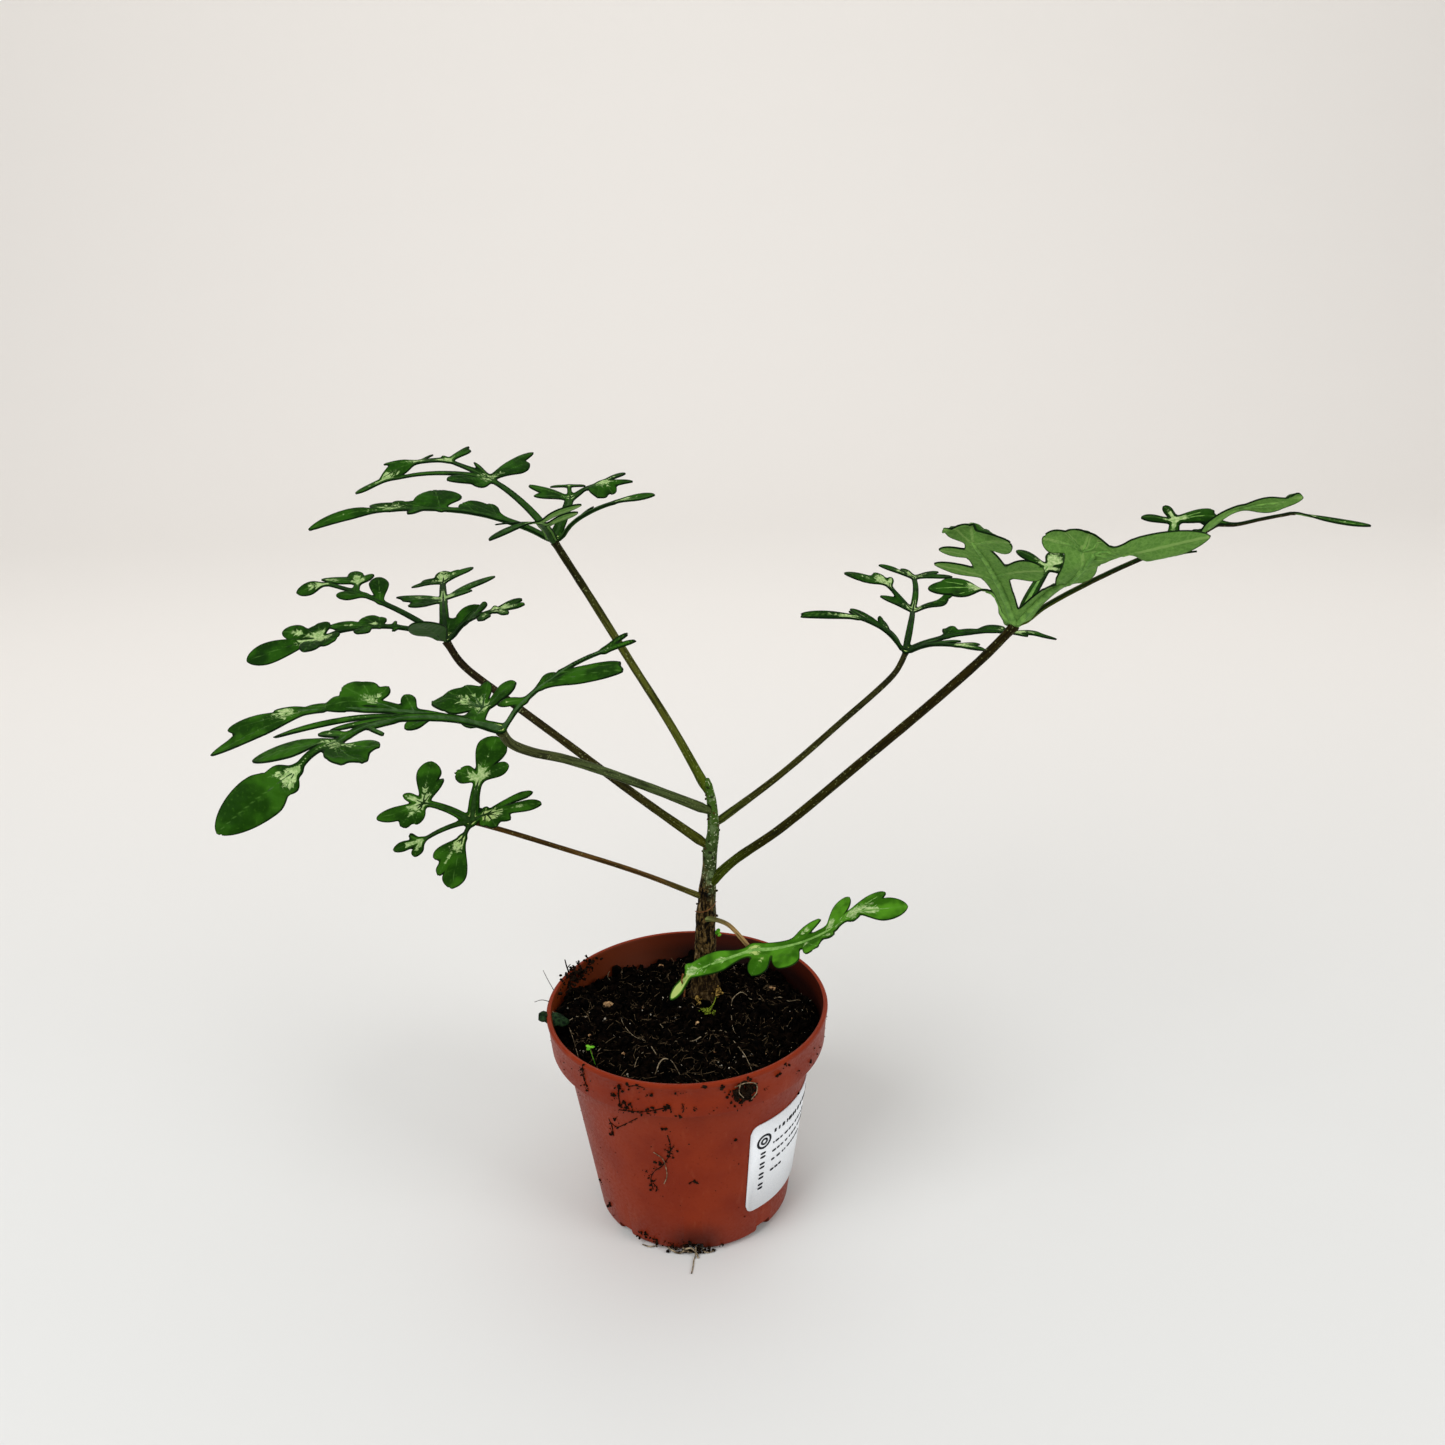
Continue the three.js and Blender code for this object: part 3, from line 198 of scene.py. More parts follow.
      [0.92, 136, 21, 5.5, 1.6], [0.6, 146, 27, 11.5, 4], [0.5, 99, 38, 6, 3], [0.42, 104, 26, 5.5, 4],
      [0.15, 121, 29, 6.5, 4, 0.6]]],
    [0, 75, 25, 30, 2.4, 6, -33, [
      [1, 156, 24, 12.5, 6, 0.6], [1, 9, 7, 13, 5.5, 0.7],
      [1, 128, 33, 14.5, 2.4, -3, -14, [
        [1, 171, 20, 15.5, 6, 0.6], [1, -180, 15, 9.5, 4], [1, 129, 31, 7, 5],
        [0.9, 73, 39, 5, 3]]],
      [1, 24, 39, 17, 4, -15, -50, [], 0, 0.7],
      [1, 75, 18, 24, 2.4, 13, -13, [
        [1, 155, 20, 14, 4], [1, 2, 4, 14, 4], [1, 124, 17, 7.5, 3.6], [1, 29, 7, 11, 3.4]]]]],
    [0, -27, 29, 18, 2, 1, -33, [
      [1, -38, 7, 10, 3, 0.5], [0.95, -14, 9, 8, 2.4], [0.25, 35, 9, 9.5, 3.4],
      [0.55, 5, 7, 9.5, 2.6]]],
    [0, 25, 14, 40, 2.2, -10, -27, [
      [1, -3, -4, 15.5, 2.6], [0.4, 99, 14, 5, 2.4], [0.38, 58, 19, 7, 4], [0.38, 24, 6, 12.5, 4],
      [0.65, 30, 3, 13, 5, 0.55], [0.92, 6, 2, 12.5, 3], [0.97, -21, -2, 6.5, 2.4]]]]],
  ["7", [21.5, -25, 107], [-90, 20], [
    [0, -170, -12, 19.5, 3, -2, -8, [
      [0.1, -172, -10, 20, 8, 0, -8, [], 0, 0.5], [1, -156, -38, 10.5, 4.2, 0, -12],
      [1, 122, 20, 4, 3, 0, -12]]],
    [0, -6, 1, 32.5, 4.5, 8, 44, [
      [0.14, -127, -17, 10.5, 6.5], [0.4, -132, -13, 10.5, 9, 0.5],
      [0.3, 27, 33, 13.5, 3.6, 0.5], [0.44, -55, 24, 7.5, 7.5], [0.6, -47, 34, 7, 2.8],
      [0.78, -85, 44, 5, 3], [0.68, 43, 42, 13, 6], [1, -2, 9, 16, 8.6, 0, -6, [], 0, 0.55],
      [0.95, 28, 24, 13.5, 5.6], [1, -97, -8, 3.5, 4]]]]],
]
RIB_DEFAULTS = (0, -12, [], 0, BELLY)

# Stem: centre line from the buried foot to the growing tip, and its radius there
STEM = [
    (4.6, 15.5, 50, 4.2), (5, 14.6, 58, 5.2), (5.3, 13.6, 65, 5.5), (5.7, 12.8, 70, 4.9), (6, 11.6, 76, 4.1),
    (6.2, 10.2, 84, 3.5), (6.5, 8.4, 92, 3.3), (6.7, 7.4, 97, 3.1), (6.9, 6.6, 101, 3.3), (7.3, 5.8, 106, 2.8),
    (7.7, 5.3, 111.3, 2.8), (8.2, 5.1, 116, 2.3), (8.7, 5, 120.5, 2.2), (9, 5, 125.3, 2.3), (10.1, 5, 131, 1.9),
    (10.2, 5, 137, 1.7), (9.9, 5, 142.4, 1.5), (9.1, 5, 147.4, 1.3), (8.9, 5, 149.6, 0.6),
]
# Petioles: points from the stem to the palm, radius at each end, colours at foot, middle and head
PETIOLES = {
    "1": ([(9.4, 5, 144.5), (-1.4, 8.8, 165.5), (-12.6, 12.6, 184.6), (-23.7, 16.4, 203.8),
           (-30.8, 18.9, 215.6), (-34, 20, 221)], 1.25, 1.15, ("#46560f", "#4b4f1a", "#26250d")),
    "2": ([(9, 4.5, 126.5), (-12.3, 12, 140.5), (-33.8, 20.2, 155.4), (-55.5, 28.3, 170.4),
           (-67.3, 32.9, 179.1), (-72, 35, 186.2)], 1.3, 1.2, ("#40440f", "#302c0f", "#2b2212")),
    "3": ([(9.8, 5, 138.5), (-10.5, -13.5, 156.8), (-29, -33.5, 173.9), (-37, -42.3, 180.1),
           (-41.5, -48.4, 185.4), (-43, -52, 190.2)], 1.3, 1.25, ("#47522a", "#48562f", "#444926")),
    "4": ([(7.6, 5, 108.2), (-12.9, 1.3, 120), (-37.8, -4, 132.8), (-53.9, -7, 140.6), (-61, -9.6, 144.4)],
          0.8, 0.75, ("#5a5926", "#553c1a", "#4c3612")),
    "5": ([(7.8, 5, 113), (15.7, 3.2, 121.8), (30.5, -2.8, 135.7), (53.5, -13.6, 161.4), (76, -25.4, 187.7),
           (85, -30.5, 199), (91.8, -34.9, 208.9)], 1.45, 1.2, ("#3c4b0c", "#2b2806", "#272005")),
    "6": ([(9.4, 4.5, 133.5), (31.5, 17, 144.7), (50.7, 29.1, 156.1), (69.5, 40.9, 168.1), (72.2, 43.2, 171.2),
           (74, 45, 174.3)], 1.05, 0.95, ("#404b13", "#35340f", "#2a290f")),
    "7": ([(6.8, 5, 101), (10.5, -2.8, 104.9), (14.2, -9.3, 106.6), (17.8, -17.2, 106.6), (21.2, -24.8, 106)],
          0.75, 0.7, ("#7d8a4c", "#96794a", "#8d6f45")),
}


def linear(hex_colour):
    """An sRGB hex colour as the linear RGBA that the shaders take."""
    channels = [int(hex_colour[i : i + 2], 16) / 255 for i in (1, 3, 5)]
    return (*(c / 12.92 if c <= 0.04045 else ((c + 0.055) / 1.055) ** 2.4 for c in channels), 1.0)


def node(tree, kind, inputs, out=0, **settings):
    """Adds one node with its sockets linked or set and its settings, and gives one of its outputs."""
    made = tree.nodes.new("ShaderNode" + kind)
    for key, value in settings.items():
        setattr(made, key, value)
    for socket, value in inputs.items():
        if isinstance(value, bpy.types.NodeSocket):
            tree.links.new(value, made.inputs[socket])
        else:
            made.inputs[socket].default_value = linear(value) if isinstance(value, str) else value
    return made.outputs[out]


def finish_called(name, **sockets):
    """A new material: its tree and its Principled shader with the given sockets set."""
    made = bpy.data.materials.new(name)
    made.use_nodes = True
    shader = made.node_tree.nodes["Principled BSDF"]
    for socket, value in sockets.items():
        shader.inputs[socket.replace("_", " ")].default_value = value
    return made, made.node_tree, shader


def smooth(x, low, high):
    t = np.clip((x - low) / (high - low), 0, 1)
    return t * t * (3 - 2 * t)


def unit(v):
    return v / np.linalg.norm(v, axis=-1, keepdims=True)


def direction(heading, rise):
    h, r = math.radians(heading), math.radians(rise)
    return np.array((math.cos(h) * math.cos(r), math.sin(h) * math.cos(r), math.sin(r)))


def polar(r, turn):
    return r * math.cos(turn), r * math.sin(turn)


def placed(name, data, matrix=None):
    """A new object that holds the data, linked to the scene."""
    made = bpy.data.objects.new(name, data)
    if matrix is not None:
        made.matrix_world = matrix
    bpy.context.collection.objects.link(made)
    return made


def meshed(name, bm, finishes, smooth_shaded=True):
    """Makes the bmesh an object. Closed shapes get their faces turned outwards; open sheets keep theirs."""
    mesh = bpy.data.meshes.new(name)
    if not any(edge.is_boundary for edge in bm.edges):
        bmesh.ops.recalc_face_normals(bm, faces=bm.faces)
    bm.to_mesh(mesh)
    bm.free()
    mesh.polygons.foreach_set("use_smooth", [smooth_shaded] * len(mesh.polygons))
    for finish in finishes:
        mesh.materials.append(finish)
    return placed(name, mesh)


def piece(name, bm, finishes, *replaced, slot=None, smooth_shaded=True):
    """Makes the bmesh a piece that rides on the part and may stand for CAD nodes."""
    made = meshed(name, bm, finishes, smooth_shaded)
    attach(made, "root")
    if replaced:
        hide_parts(*replaced)
    return made


def thicken(made, thickness, side, other_face=0):
    """Makes a sheet solid: side is 1 to grow it the way it faces, -1 the other way and 0 both ways."""
    shell = made.modifiers.new("thickness", "SOLIDIFY")
    shell.thickness, shell.offset, shell.material_offset = thickness * MM, side, other_face


def extruded(bm, edges):
    """Extrudes a run of edges, and gives the new points and the new run."""
    grown = bmesh.ops.extrude_edge_only(bm, edges=edges)["geom"]
    verts = {g for g in grown if isinstance(g, bmesh.types.BMVert)}
    return verts, [g for g in grown if isinstance(g, bmesh.types.BMEdge) and verts.issuperset(g.verts)]


# The leaf: ribs laid flat from the palm outwards and carried in space, each with its own frames
FRAME_PARTS = ("point", "along", "normal", "side")


def at(rib, s):
    """The rib's frame at s millimetres along it, for one s or many."""
    x = np.clip(np.asarray(s, float) / rib["length"], 0, 1) * RIB_STEPS
    i = np.minimum(x.astype(int), RIB_STEPS - 1)
    f = (x - i)[..., None]
    frame_there = {key: rib[key][i] * (1 - f) + rib[key][i + 1] * f for key in FRAME_PARTS}
    return {key: value if key == "point" else unit(value) for key, value in frame_there.items()}


def grow_rib(parent, spec, palm, ribs):
    """Adds a rib and the ribs it carries: its place in the flat pattern, and its frames in space."""
    if len(spec) == 6:
        spec = (*spec[:5], *RIB_DEFAULTS[:4], spec[5])
    spec = (*spec, *RIB_DEFAULTS[len(spec) - 5 :])
    place, heading, rise, length, width, swing, arch, carried, roll, belly = spec
    start = at(parent, place * parent["length"]) if parent else palm
    out = direction(heading, rise)
    turn = math.atan2(out @ start["side"], out @ start["along"])
    flat = parent["flat"] + parent["course"] * place * parent["length"] if parent else np.zeros(2)
    bearing = (parent["bearing"] + place * parent["swing"] if parent else 0) + turn
    chord = bearing + math.radians(swing) / 2
    rib = {
        "length": length, "width": width, "belly": belly, "flat": flat, "bearing": bearing,
        "swing": math.radians(swing), "stalk": bool(carried), "course": np.array(polar(1, chord)),
        "level": parent["level"] + 1 if parent else 0,
    }
    point, normal, frames = start["point"], start["normal"], []
    for i in range(RIB_STEPS + 1):
        share, middle = i / RIB_STEPS, (i + 0.5) / RIB_STEPS
        along = direction(heading + swing * share, rise + arch * share)
        normal = unit(normal - (normal @ along) * along)
        turned = math.radians(roll) * smooth(share, 0, 0.4)
        side = np.cross(normal, along) * math.cos(turned) + normal * math.sin(turned)
        frames.append((point, along, np.cross(along, side), side))
        point = point + direction(heading + swing * middle, rise + arch * middle) * length / RIB_STEPS
    rib.update(zip(FRAME_PARTS, (np.array(column) for column in zip(*frames))))
    ribs.append(rib)
    for child in carried:
        grow_rib(rib, child, palm, ribs)


def half_width(rib, s):
    """Half the width of a rib's strip: stalks are even, lobes swell to a belly and round to a tip."""
    x, half = s / rib["length"], rib["width"] / 2
    if rib["stalk"]:
        return half * (1.25 - 0.35 * x)
    neck = min(half, 0.9 + 0.12 * half)
    belly = rib["belly"]
    tip = half * np.maximum(1 - ((x - belly) / (1 - belly)) ** 2, 0) ** 0.6
    return np.where(x < belly, neck + (half - neck) * smooth(x, 0, belly), tip)


def reach(rib, flat):
    """Place along and across a rib's strip of flat points, and their distance outside it."""
    off = flat - rib["flat"]
    s, t = off @ rib["course"], off @ np.array((-rib["course"][1], rib["course"][0]))
    held = np.clip(s, 0, rib["length"])
    beyond = s != held
    d = np.where(beyond, np.hypot(s - held, t), np.abs(t)) - half_width(rib, held)
    return s, t, d


def outline_field(ribs, flat):
    """Millimetres outside the leaf's outline, with the ribs' strips melted into one another."""
    total = sum(np.exp(-WEB_SHARPNESS * reach(rib, flat)[2]) for rib in ribs)
    return WEB_TRIM - np.log(np.maximum(total, 1e-200)) / WEB_SHARPNESS


def lift(ribs, flat):
    """Flat points in space: every rib offers its own place for them, and the nearest counts most."""
    total, weights = np.zeros((len(flat), 3)), np.zeros((len(flat), 1))
    for rib in ribs:
        s, t, d = reach(rib, flat)
        f = at(rib, s)
        w = np.exp(-BEND_SHARPNESS * (np.maximum(d, -1.5) + 1.5))[:, None]
        over = np.where(s < 0, s, np.maximum(s - rib["length"], 0))[:, None]
        total += w * (f["point"] + f["along"] * over + f["side"] * t[:, None])
        weights += w
    return total / weights


def normals_at(ribs, flat, step=0.4):
    """The blade's normals at flat points, from four places a step away."""
    du, dv = np.array((step, 0)), np.array((0, step))
    across = lift(ribs, flat + du) - lift(ribs, flat - du)
    return unit(np.cross(across, lift(ribs, flat + dv) - lift(ribs, flat - dv)))


def cut_outline(bm, ribs):
    """Leaves of a flat triangulated grid only what lies in the leaf, with its rim on the outline."""
    flat = np.array([v.co.xy[:] for v in bm.verts])
    field = outline_field(ribs, flat)
    bmesh.ops.delete(bm, geom=[v for v, f in zip(bm.verts, field) if f > 2 * CELL], context="VERTS")
    field = field[field <= 2 * CELL]
    bmesh.ops.triangulate(bm, faces=bm.faces[:])
    bm.verts.index_update()
    bm.verts.ensure_lookup_table()
    moves = {}
    for edge in bm.edges:
        a, b = edge.verts
        fa, fb = field[a.index], field[b.index]
        if (fa < 0) == (fb < 0):
            continue
        share = fa / (fa - fb)
        near, other, share = (a, b, share) if share < 0.5 else (b, a, 1 - share)
        if near.index not in moves or share < moves[near.index][0]:
            moves[near.index] = (share, near.co.lerp(other.co, share))
    for index, (_, place) in moves.items():
        bm.verts[index].co = place
        field[index] = 0
    outside = []
    for face in bm.faces:
        values = [field[v.index] for v in face.verts]
        middle = np.array([face.calc_center_median().xy[:]])
        if max(values) > 0 or (min(values) == 0 and outline_field(ribs, middle)[0] > 0):
            outside.append(face)
    bmesh.ops.delete(bm, geom=outside, context="FACES")


def palm_of(lean, centre):
    """The frame of the palm, which the leaf's main ribs start from."""
    normal = direction(lean[0], 90 - lean[1])
    along = unit(np.array((1.0, 0, 0)) - normal[0] * normal)
    return {"point": np.array(centre, float), "along": along, "normal": normal, "side": np.cross(normal, along)}


def blade(leaf, tone_and_shade, forks, streaks):
    """One blade: a flat grid cut to the outline, lifted into space, quilted between its side veins."""
    number, centre, lean, specs = leaf
    ribs, palm, dice = [], palm_of(lean, centre), random.Random(int(number))
    for spec in specs:
        grow_rib(None, spec, palm, ribs)
    ends = np.array([r["flat"] + r["course"] * x for r in ribs for x in (0, r["length"])])
    low, size = ends.min(0) - 12, np.ptp(ends, axis=0) + 24
    bm = bmesh.new()
    segments = [math.ceil(side / CELL) for side in size]
    bmesh.ops.create_grid(bm, x_segments=segments[0], y_segments=segments[1], size=0.5)
    bmesh.ops.scale(bm, vec=(*size, 1), verts=bm.verts)
    bmesh.ops.translate(bm, vec=(*(low + size / 2), 0), verts=bm.verts)
    cut_outline(bm, ribs)
    flat = np.array([v.co.xy[:] for v in bm.verts])
    edge = -outline_field(ribs, flat)
    reaches = [reach(rib, flat) for rib in ribs]
    nearest = np.argmin([r[2] for r in reaches], axis=0)
    rows = np.arange(len(flat))
    s, t = (np.array([r[k] for r in reaches])[nearest, rows] for k in (0, 1))
    lobe = np.array([0.0 if rib["stalk"] else 1.0 for rib in ribs])[nearest]
    half = np.array([rib["width"] / 2 for rib in ribs])[nearest]
    grain = np.stack((s - 1.1 * np.abs(t), 0.5 * np.abs(t), nearest * 7.0 + 31 * int(number)), 1)
    # Pale patches where ribs fork, and broken streaks along the lobes' midribs
    pale = np.zeros(len(flat))
    for rib, (along, across, _) in zip(ribs, reaches):
        strength = dice.uniform(*forks) if rib["stalk"] else dice.uniform(*streaks)
        if rib["stalk"]:
            spread = 2.3 + 0.04 * rib["length"] + 0.15 * rib["width"]
            off = ((along - rib["length"] - 0.8) / 1.25) ** 2 + (across / 0.8) ** 2
            pale = np.maximum(pale, strength * np.exp(-off / (2 * min(spread, PATCH_SPREAD) ** 2)))
        else:
            place, spread = rib["length"] * dice.uniform(0.2, 0.6), rib["length"] * 0.17
            width = 0.1 * rib["width"] + 0.3
            streak = np.exp(-(((along - place) / spread) ** 2) / 2 - ((across / width) ** 2) / 2)
            pale = np.maximum(pale, strength * streak)
    pale = np.maximum(pale, forks[1] * 0.8 * np.exp(-(flat**2).sum(1) / (2 * 2.4**2)))
    young = nearest == YOUNG_TIPS.get(number, -1)
    pale[young] = 1.2
    inner = smooth(edge, 0.2, 1.6)
    relief = (
        -0.12 * np.exp(-((t / 0.5) ** 2))
        + 0.07 * np.cos(2 * np.pi * grain[:, 0] / VEIN_SPACING) * inner * lobe
        - 0.07 * np.minimum(t**2, half**2) / np.maximum(half, 1) * lobe
        + np.array([0.5 * noise.noise((u / 11, v / 11, int(number) * 3.7)) for u, v in flat]) * inner
    )
    lifted = lift(ribs, flat) + normals_at(ribs, flat) * relief[:, None]
    for v, place in zip(bm.verts, lifted):
        v.co = place * MM
    made = piece("leaf_blade_" + number, bm, [UPPER_SIDE, UNDER_SIDE], "blade_" + number, slot="leaf_blade")
    # tone_and_shade is partly the leaf's own tone and partly painted shade, deeper on the leaves that catch
    # less light
    layers = {"pale": pale, "edge": edge, "midrib": np.abs(t), "tone_and_shade": np.full(len(flat), tone_and_shade)}
    layers["cream"] = np.maximum(0.85 * np.exp(-(flat**2).sum(1) / (2 * 5.0**2)), young)
    layers["deep"] = nearest == SHADED_LOBES.get(number, -1)
    for name, values in layers.items():
        made.data.attributes.new(name, "FLOAT", "POINT").data.foreach_set("value", values.astype(np.float32))
    grains = made.data.attributes.new("grain", "FLOAT_VECTOR", "POINT")
    grains.data.foreach_set("vector", grain.astype(np.float32).ravel())
    thicken(made, BLADE_THICK, 0, 1)
    rib_cords(number, ribs)


def smooth_path(points, count):
    """Points along a smooth curve through the given ones, as many in each stretch, without loops."""
    p = [Vector(q) for q in points]
    p = [p[0] * 2 - p[1], *p, p[-1] * 2 - p[-2]]
    made, stretches = [], len(p) - 3
    for n in range(count + 1):
        k = min(int(n / count * stretches), stretches - 1)
        knots = [0.0]
        for a, b in zip(p[k : k + 4], p[k + 1 : k + 4]):
            knots.append(knots[-1] + max((b - a).length, 1e-6) ** 0.5)
        x = knots[1] + (n / count * stretches - k) * (knots[2] - knots[1])
        held = p[k : k + 4]
        for spans in (((0, 1), (1, 2), (2, 3)), ((0, 2), (1, 3)), ((1, 2),)):
            pairs = zip(held, held[1:], spans)
            held = [a.lerp(b, (x - knots[i]) / (knots[j] - knots[i])) for a, b, (i, j) in pairs]
        made.append(held[0])
    return made


def tube(bm, path, radii, sides):
    """Extrudes one ring along a path of millimetre points; "wrap" keeps where each point lies on it."""
    wrap = bm.verts.layers.float_vector.get("wrap") or bm.verts.layers.float_vector.new("wrap")
    run, across, verts, edges, last = 0.0, Vector((0.1, 1, 0.05)), None, None, None
    for i, (point, radius) in enumerate(zip(path, radii)):
        along = (path[min(i + 1, len(path) - 1)] - path[max(i - 1, 0)]).normalized()
        across = (across - along * across.dot(along)).normalized()
        up = along.cross(across)
        place = (Matrix((across, up, along)).transposed() * (radius * MM)).to_4x4()
        place.translation = point * MM
        if verts is None:
            verts = bmesh.ops.create_circle(bm, cap_ends=True, radius=1, segments=sides, matrix=place)["verts"]
            edges = list({e for v in verts for e in v.link_edges})
        else:
            run += (point - path[i - 1]).length
            verts, edges = extruded(bm, edges)
            bmesh.ops.transform(bm, matrix=place @ last.inverted(), verts=list(verts))
        turned = place.inverted()
        for v in verts:
            local = turned @ v.co
            v[wrap] = (local.x * radius, local.y * radius, run)
        last = place
    bmesh.ops.contextual_create(bm, geom=edges)


# Radii of the ribs at their two ends: main ribs, side ribs, finer ones, and those within a lobe
RIB_RADII, LOBE_RIB_RADII = ((0.95, 0.5), (0.55, 0.34), (0.4, 0.28)), (0.34, 0.07)


def rib_cords(number, ribs):
    """The ribs as cords under the blade, thick at the palm and thin at the tips of the lobes."""
    bm = bmesh.new()
    for rib in ribs:
        count = max(5, int(rib["length"] / 1.5))
        share = np.linspace(0, 1 if rib["stalk"] else 0.93, count)
        flat = rib["flat"] + rib["course"] * (share * rib["length"])[:, None]
        first, last = RIB_RADII[min(rib["level"], 2)] if rib["stalk"] else LOBE_RIB_RADII
        if rib["level"] == 0 and rib["stalk"]:
            first = min(1.0, 0.33 * rib["width"] + 0.15)
        radii = first + (last - first) * share
        middle = lift(ribs, flat) - normals_at(ribs, flat) * (0.35 * radii + 0.1)[:, None]
        before = len(bm.faces)
        tube(bm, [Vector(p) for p in middle], radii, 8)
        bm.faces.ensure_lookup_table()
        for face in bm.faces[before:]:  # a very long rib is as dark as the stalk
            face.material_index = int(rib["length"] > 70)
    piece("leaf_ribs_" + number, bm, [RIB_SKINS[number], PETIOLE_SKINS[number]], slot="petiole_skin")


def petiole(number):
    """A leaf stalk: swollen where it leaves the stem and again at the palm."""
    points, foot, head, _ = PETIOLES[number]
    path = smooth_path(points, STALK_STEPS)
    radii = []
    for i, point in enumerate(path):
        share = i / STALK_STEPS
        swollen = 1 + 0.45 * math.exp(-share * 14) + 0.18 * math.exp(-(((share - 1) / 0.03) ** 2))
        swollen *= 0.6 + 0.4 * float(smooth(share, 0, 0.04))  # narrow where it is inside the stem
        radii.append((foot + (head - foot) * share) * swollen * (1 + 0.05 * noise.noise(point * 0.25)))
    bm = bmesh.new()
    tube(bm, path, radii, STALK_SIDES)
    piece("petiole_skin_" + number, bm, [PETIOLE_SKINS[number]], "petiole_" + number, slot="petiole_skin")


def stem():
    """The stem: green and dotted with raised pores above, knobbly, split and corky below."""
    path = smooth_path([point[:3] for point in STEM], STEM_STEPS)
    shares = np.linspace(0, 1, len(STEM))
    bm = bmesh.new()
    radii = np.interp(np.linspace(0, 1, STEM_STEPS + 1), shares, [point[3] for point in STEM])
    tube(bm, path, radii, STEM_SIDES)
    wrap = bm.verts.layers.float_vector["wrap"]
    bm.normal_update()
    for v in bm.verts:
        x, y, run = v[wrap]
        cork = float(smooth(-v.co.z / MM, -112, -92))
        fissures = noise.fractal((x * 0.9, y * 0.9, run * 0.28), 0.9, 2.1, 4)
        cracks = abs(noise.noise((x * 1.7, y * 1.7, run * 0.33 + 9)))
        knobs = noise.noise((x * 0.35, y * 0.35, run * 0.3 + 4)) * float(smooth(-v.co.z / MM, -84, -68))
        lenticel = max(noise.noise((x * 1.6, y * 1.6, run * 1.1)) - 0.42, 0) * 0.5
        bulge = cork * (0.34 * fissures - 0.9 * max(0.12 - cracks, 0)) + 1.1 * knobs + (1 - cork) * lenticel
        v.co += v.normal * (bulge * MM)
    piece("stem_bark", bm, [STEM_BARK], "stem", slot="stem_bark")


# The pot
def body_radius(z):
    """The radius of the wall below the lip, z millimetres up."""
    return BASE_RADIUS + (BODY_TOP_RADIUS - BASE_RADIUS) * z / (POT_HEIGHT - LIP_HEIGHT)


def pot():
    """The pot: a turned profile with rounded corners, its drain holes bored through the edge of the base."""
    foot = POT_HEIGHT - LIP_HEIGHT
    outer = [
        (0, 0), (BASE_RADIUS - POT_FILLET - 1, 0), (BASE_RADIUS - 1.7, 0.25), (BASE_RADIUS - 0.9, 0.7),
        (BASE_RADIUS - 0.2, 1.5), (body_radius(POT_FILLET), POT_FILLET), (body_radius(20), 20),
        (body_radius(40), 40), (BODY_TOP_RADIUS - 0.1, foot - 1.4), (BODY_TOP_RADIUS + 0.3, foot - 0.4),
        (LIP_FOOT_RADIUS - 0.9, foot - 0.15), (LIP_FOOT_RADIUS - 0.2, foot + 0.1),
        (LIP_FOOT_RADIUS, foot + 0.7), (LIP_FOOT_RADIUS + 0.35, foot + 5), (RIM_RADIUS - 0.45, POT_HEIGHT - 2),
        (RIM_RADIUS - 0.1, POT_HEIGHT - 1.5), (RIM_RADIUS, POT_HEIGHT - 0.8),
        (RIM_RADIUS - 0.2, POT_HEIGHT - 0.25), (RIM_RADIUS - 0.7, POT_HEIGHT),
    ]
    inner = [
        (RIM_RADIUS - POT_WALL, POT_HEIGHT - 0.15), (RIM_RADIUS - POT_WALL - 0.4, POT_HEIGHT - 0.8),
        (LIP_FOOT_RADIUS - POT_WALL, foot + POT_WALL + 0.9),
        (LIP_FOOT_RADIUS - POT_WALL - 0.8, foot + POT_WALL),
        (BODY_TOP_RADIUS - POT_WALL, foot - 0.6), (body_radius(30) - POT_WALL, 30),
        (body_radius(POT_FILLET + 1) - POT_WALL, POT_FILLET + 1), (BASE_RADIUS - POT_FILLET - 1.6, POT_WALL),
        (0, POT_WALL),
    ]
    bm = bmesh.new()
    profile = [bm.verts.new((r * MM, 0, z * MM)) for r, z in outer + inner]
    sections = [bm.edges.new(pair) for pair in zip(profile, profile[1:])]
    bmesh.ops.spin(
        bm, geom=profile + sections, cent=(0, 0, 0), axis=(0, 0, 1), angle=math.tau, steps=160, use_merge=True
    )
    bmesh.ops.remove_doubles(bm, verts=bm.verts, dist=0.01 * MM)
    drill = bmesh.new()
    for i in range(DRAIN_HOLES):
        x, y = polar(DRAIN_CIRCLE, math.tau * i / DRAIN_HOLES)
        bmesh.ops.create_cone(
            drill, cap_ends=True, segments=28, radius1=DRAIN_RADIUS * MM, radius2=DRAIN_RADIUS * MM,
            depth=6 * MM, matrix=Matrix.Translation((x * MM, y * MM, MM)),
        )
    tool = meshed("drill", drill, [], False)
    made = piece("pot_wall", bm, [MOULDED_POT], "pot", slot="pot_plastic")
    bore = made.modifiers.new("drain holes", "BOOLEAN")
    bore.object, bore.operation, bore.solver = tool, "DIFFERENCE", "EXACT"
    bored = bpy.data.meshes.new_from_object(made.evaluated_get(bpy.context.evaluated_depsgraph_get()))
    made.modifiers.clear()
    made.data = bored
    bpy.data.objects.remove(tool)
    bored.set_sharp_from_angle(angle=math.radians(38))


def on_wall(turn, z, off=0.0):
    """A point on the pot's outside, off millimetres proud of it: degrees round, millimetres up."""
    up = z - POT_HEIGHT + LIP_HEIGHT  # over the foot of the lip
    r = body_radius(z) if up < 0 else LIP_FOOT_RADIUS + (RIM_RADIUS - LIP_FOOT_RADIUS) * up / LIP_HEIGHT
    return Vector((*polar(r + off, math.radians(turn)), z))


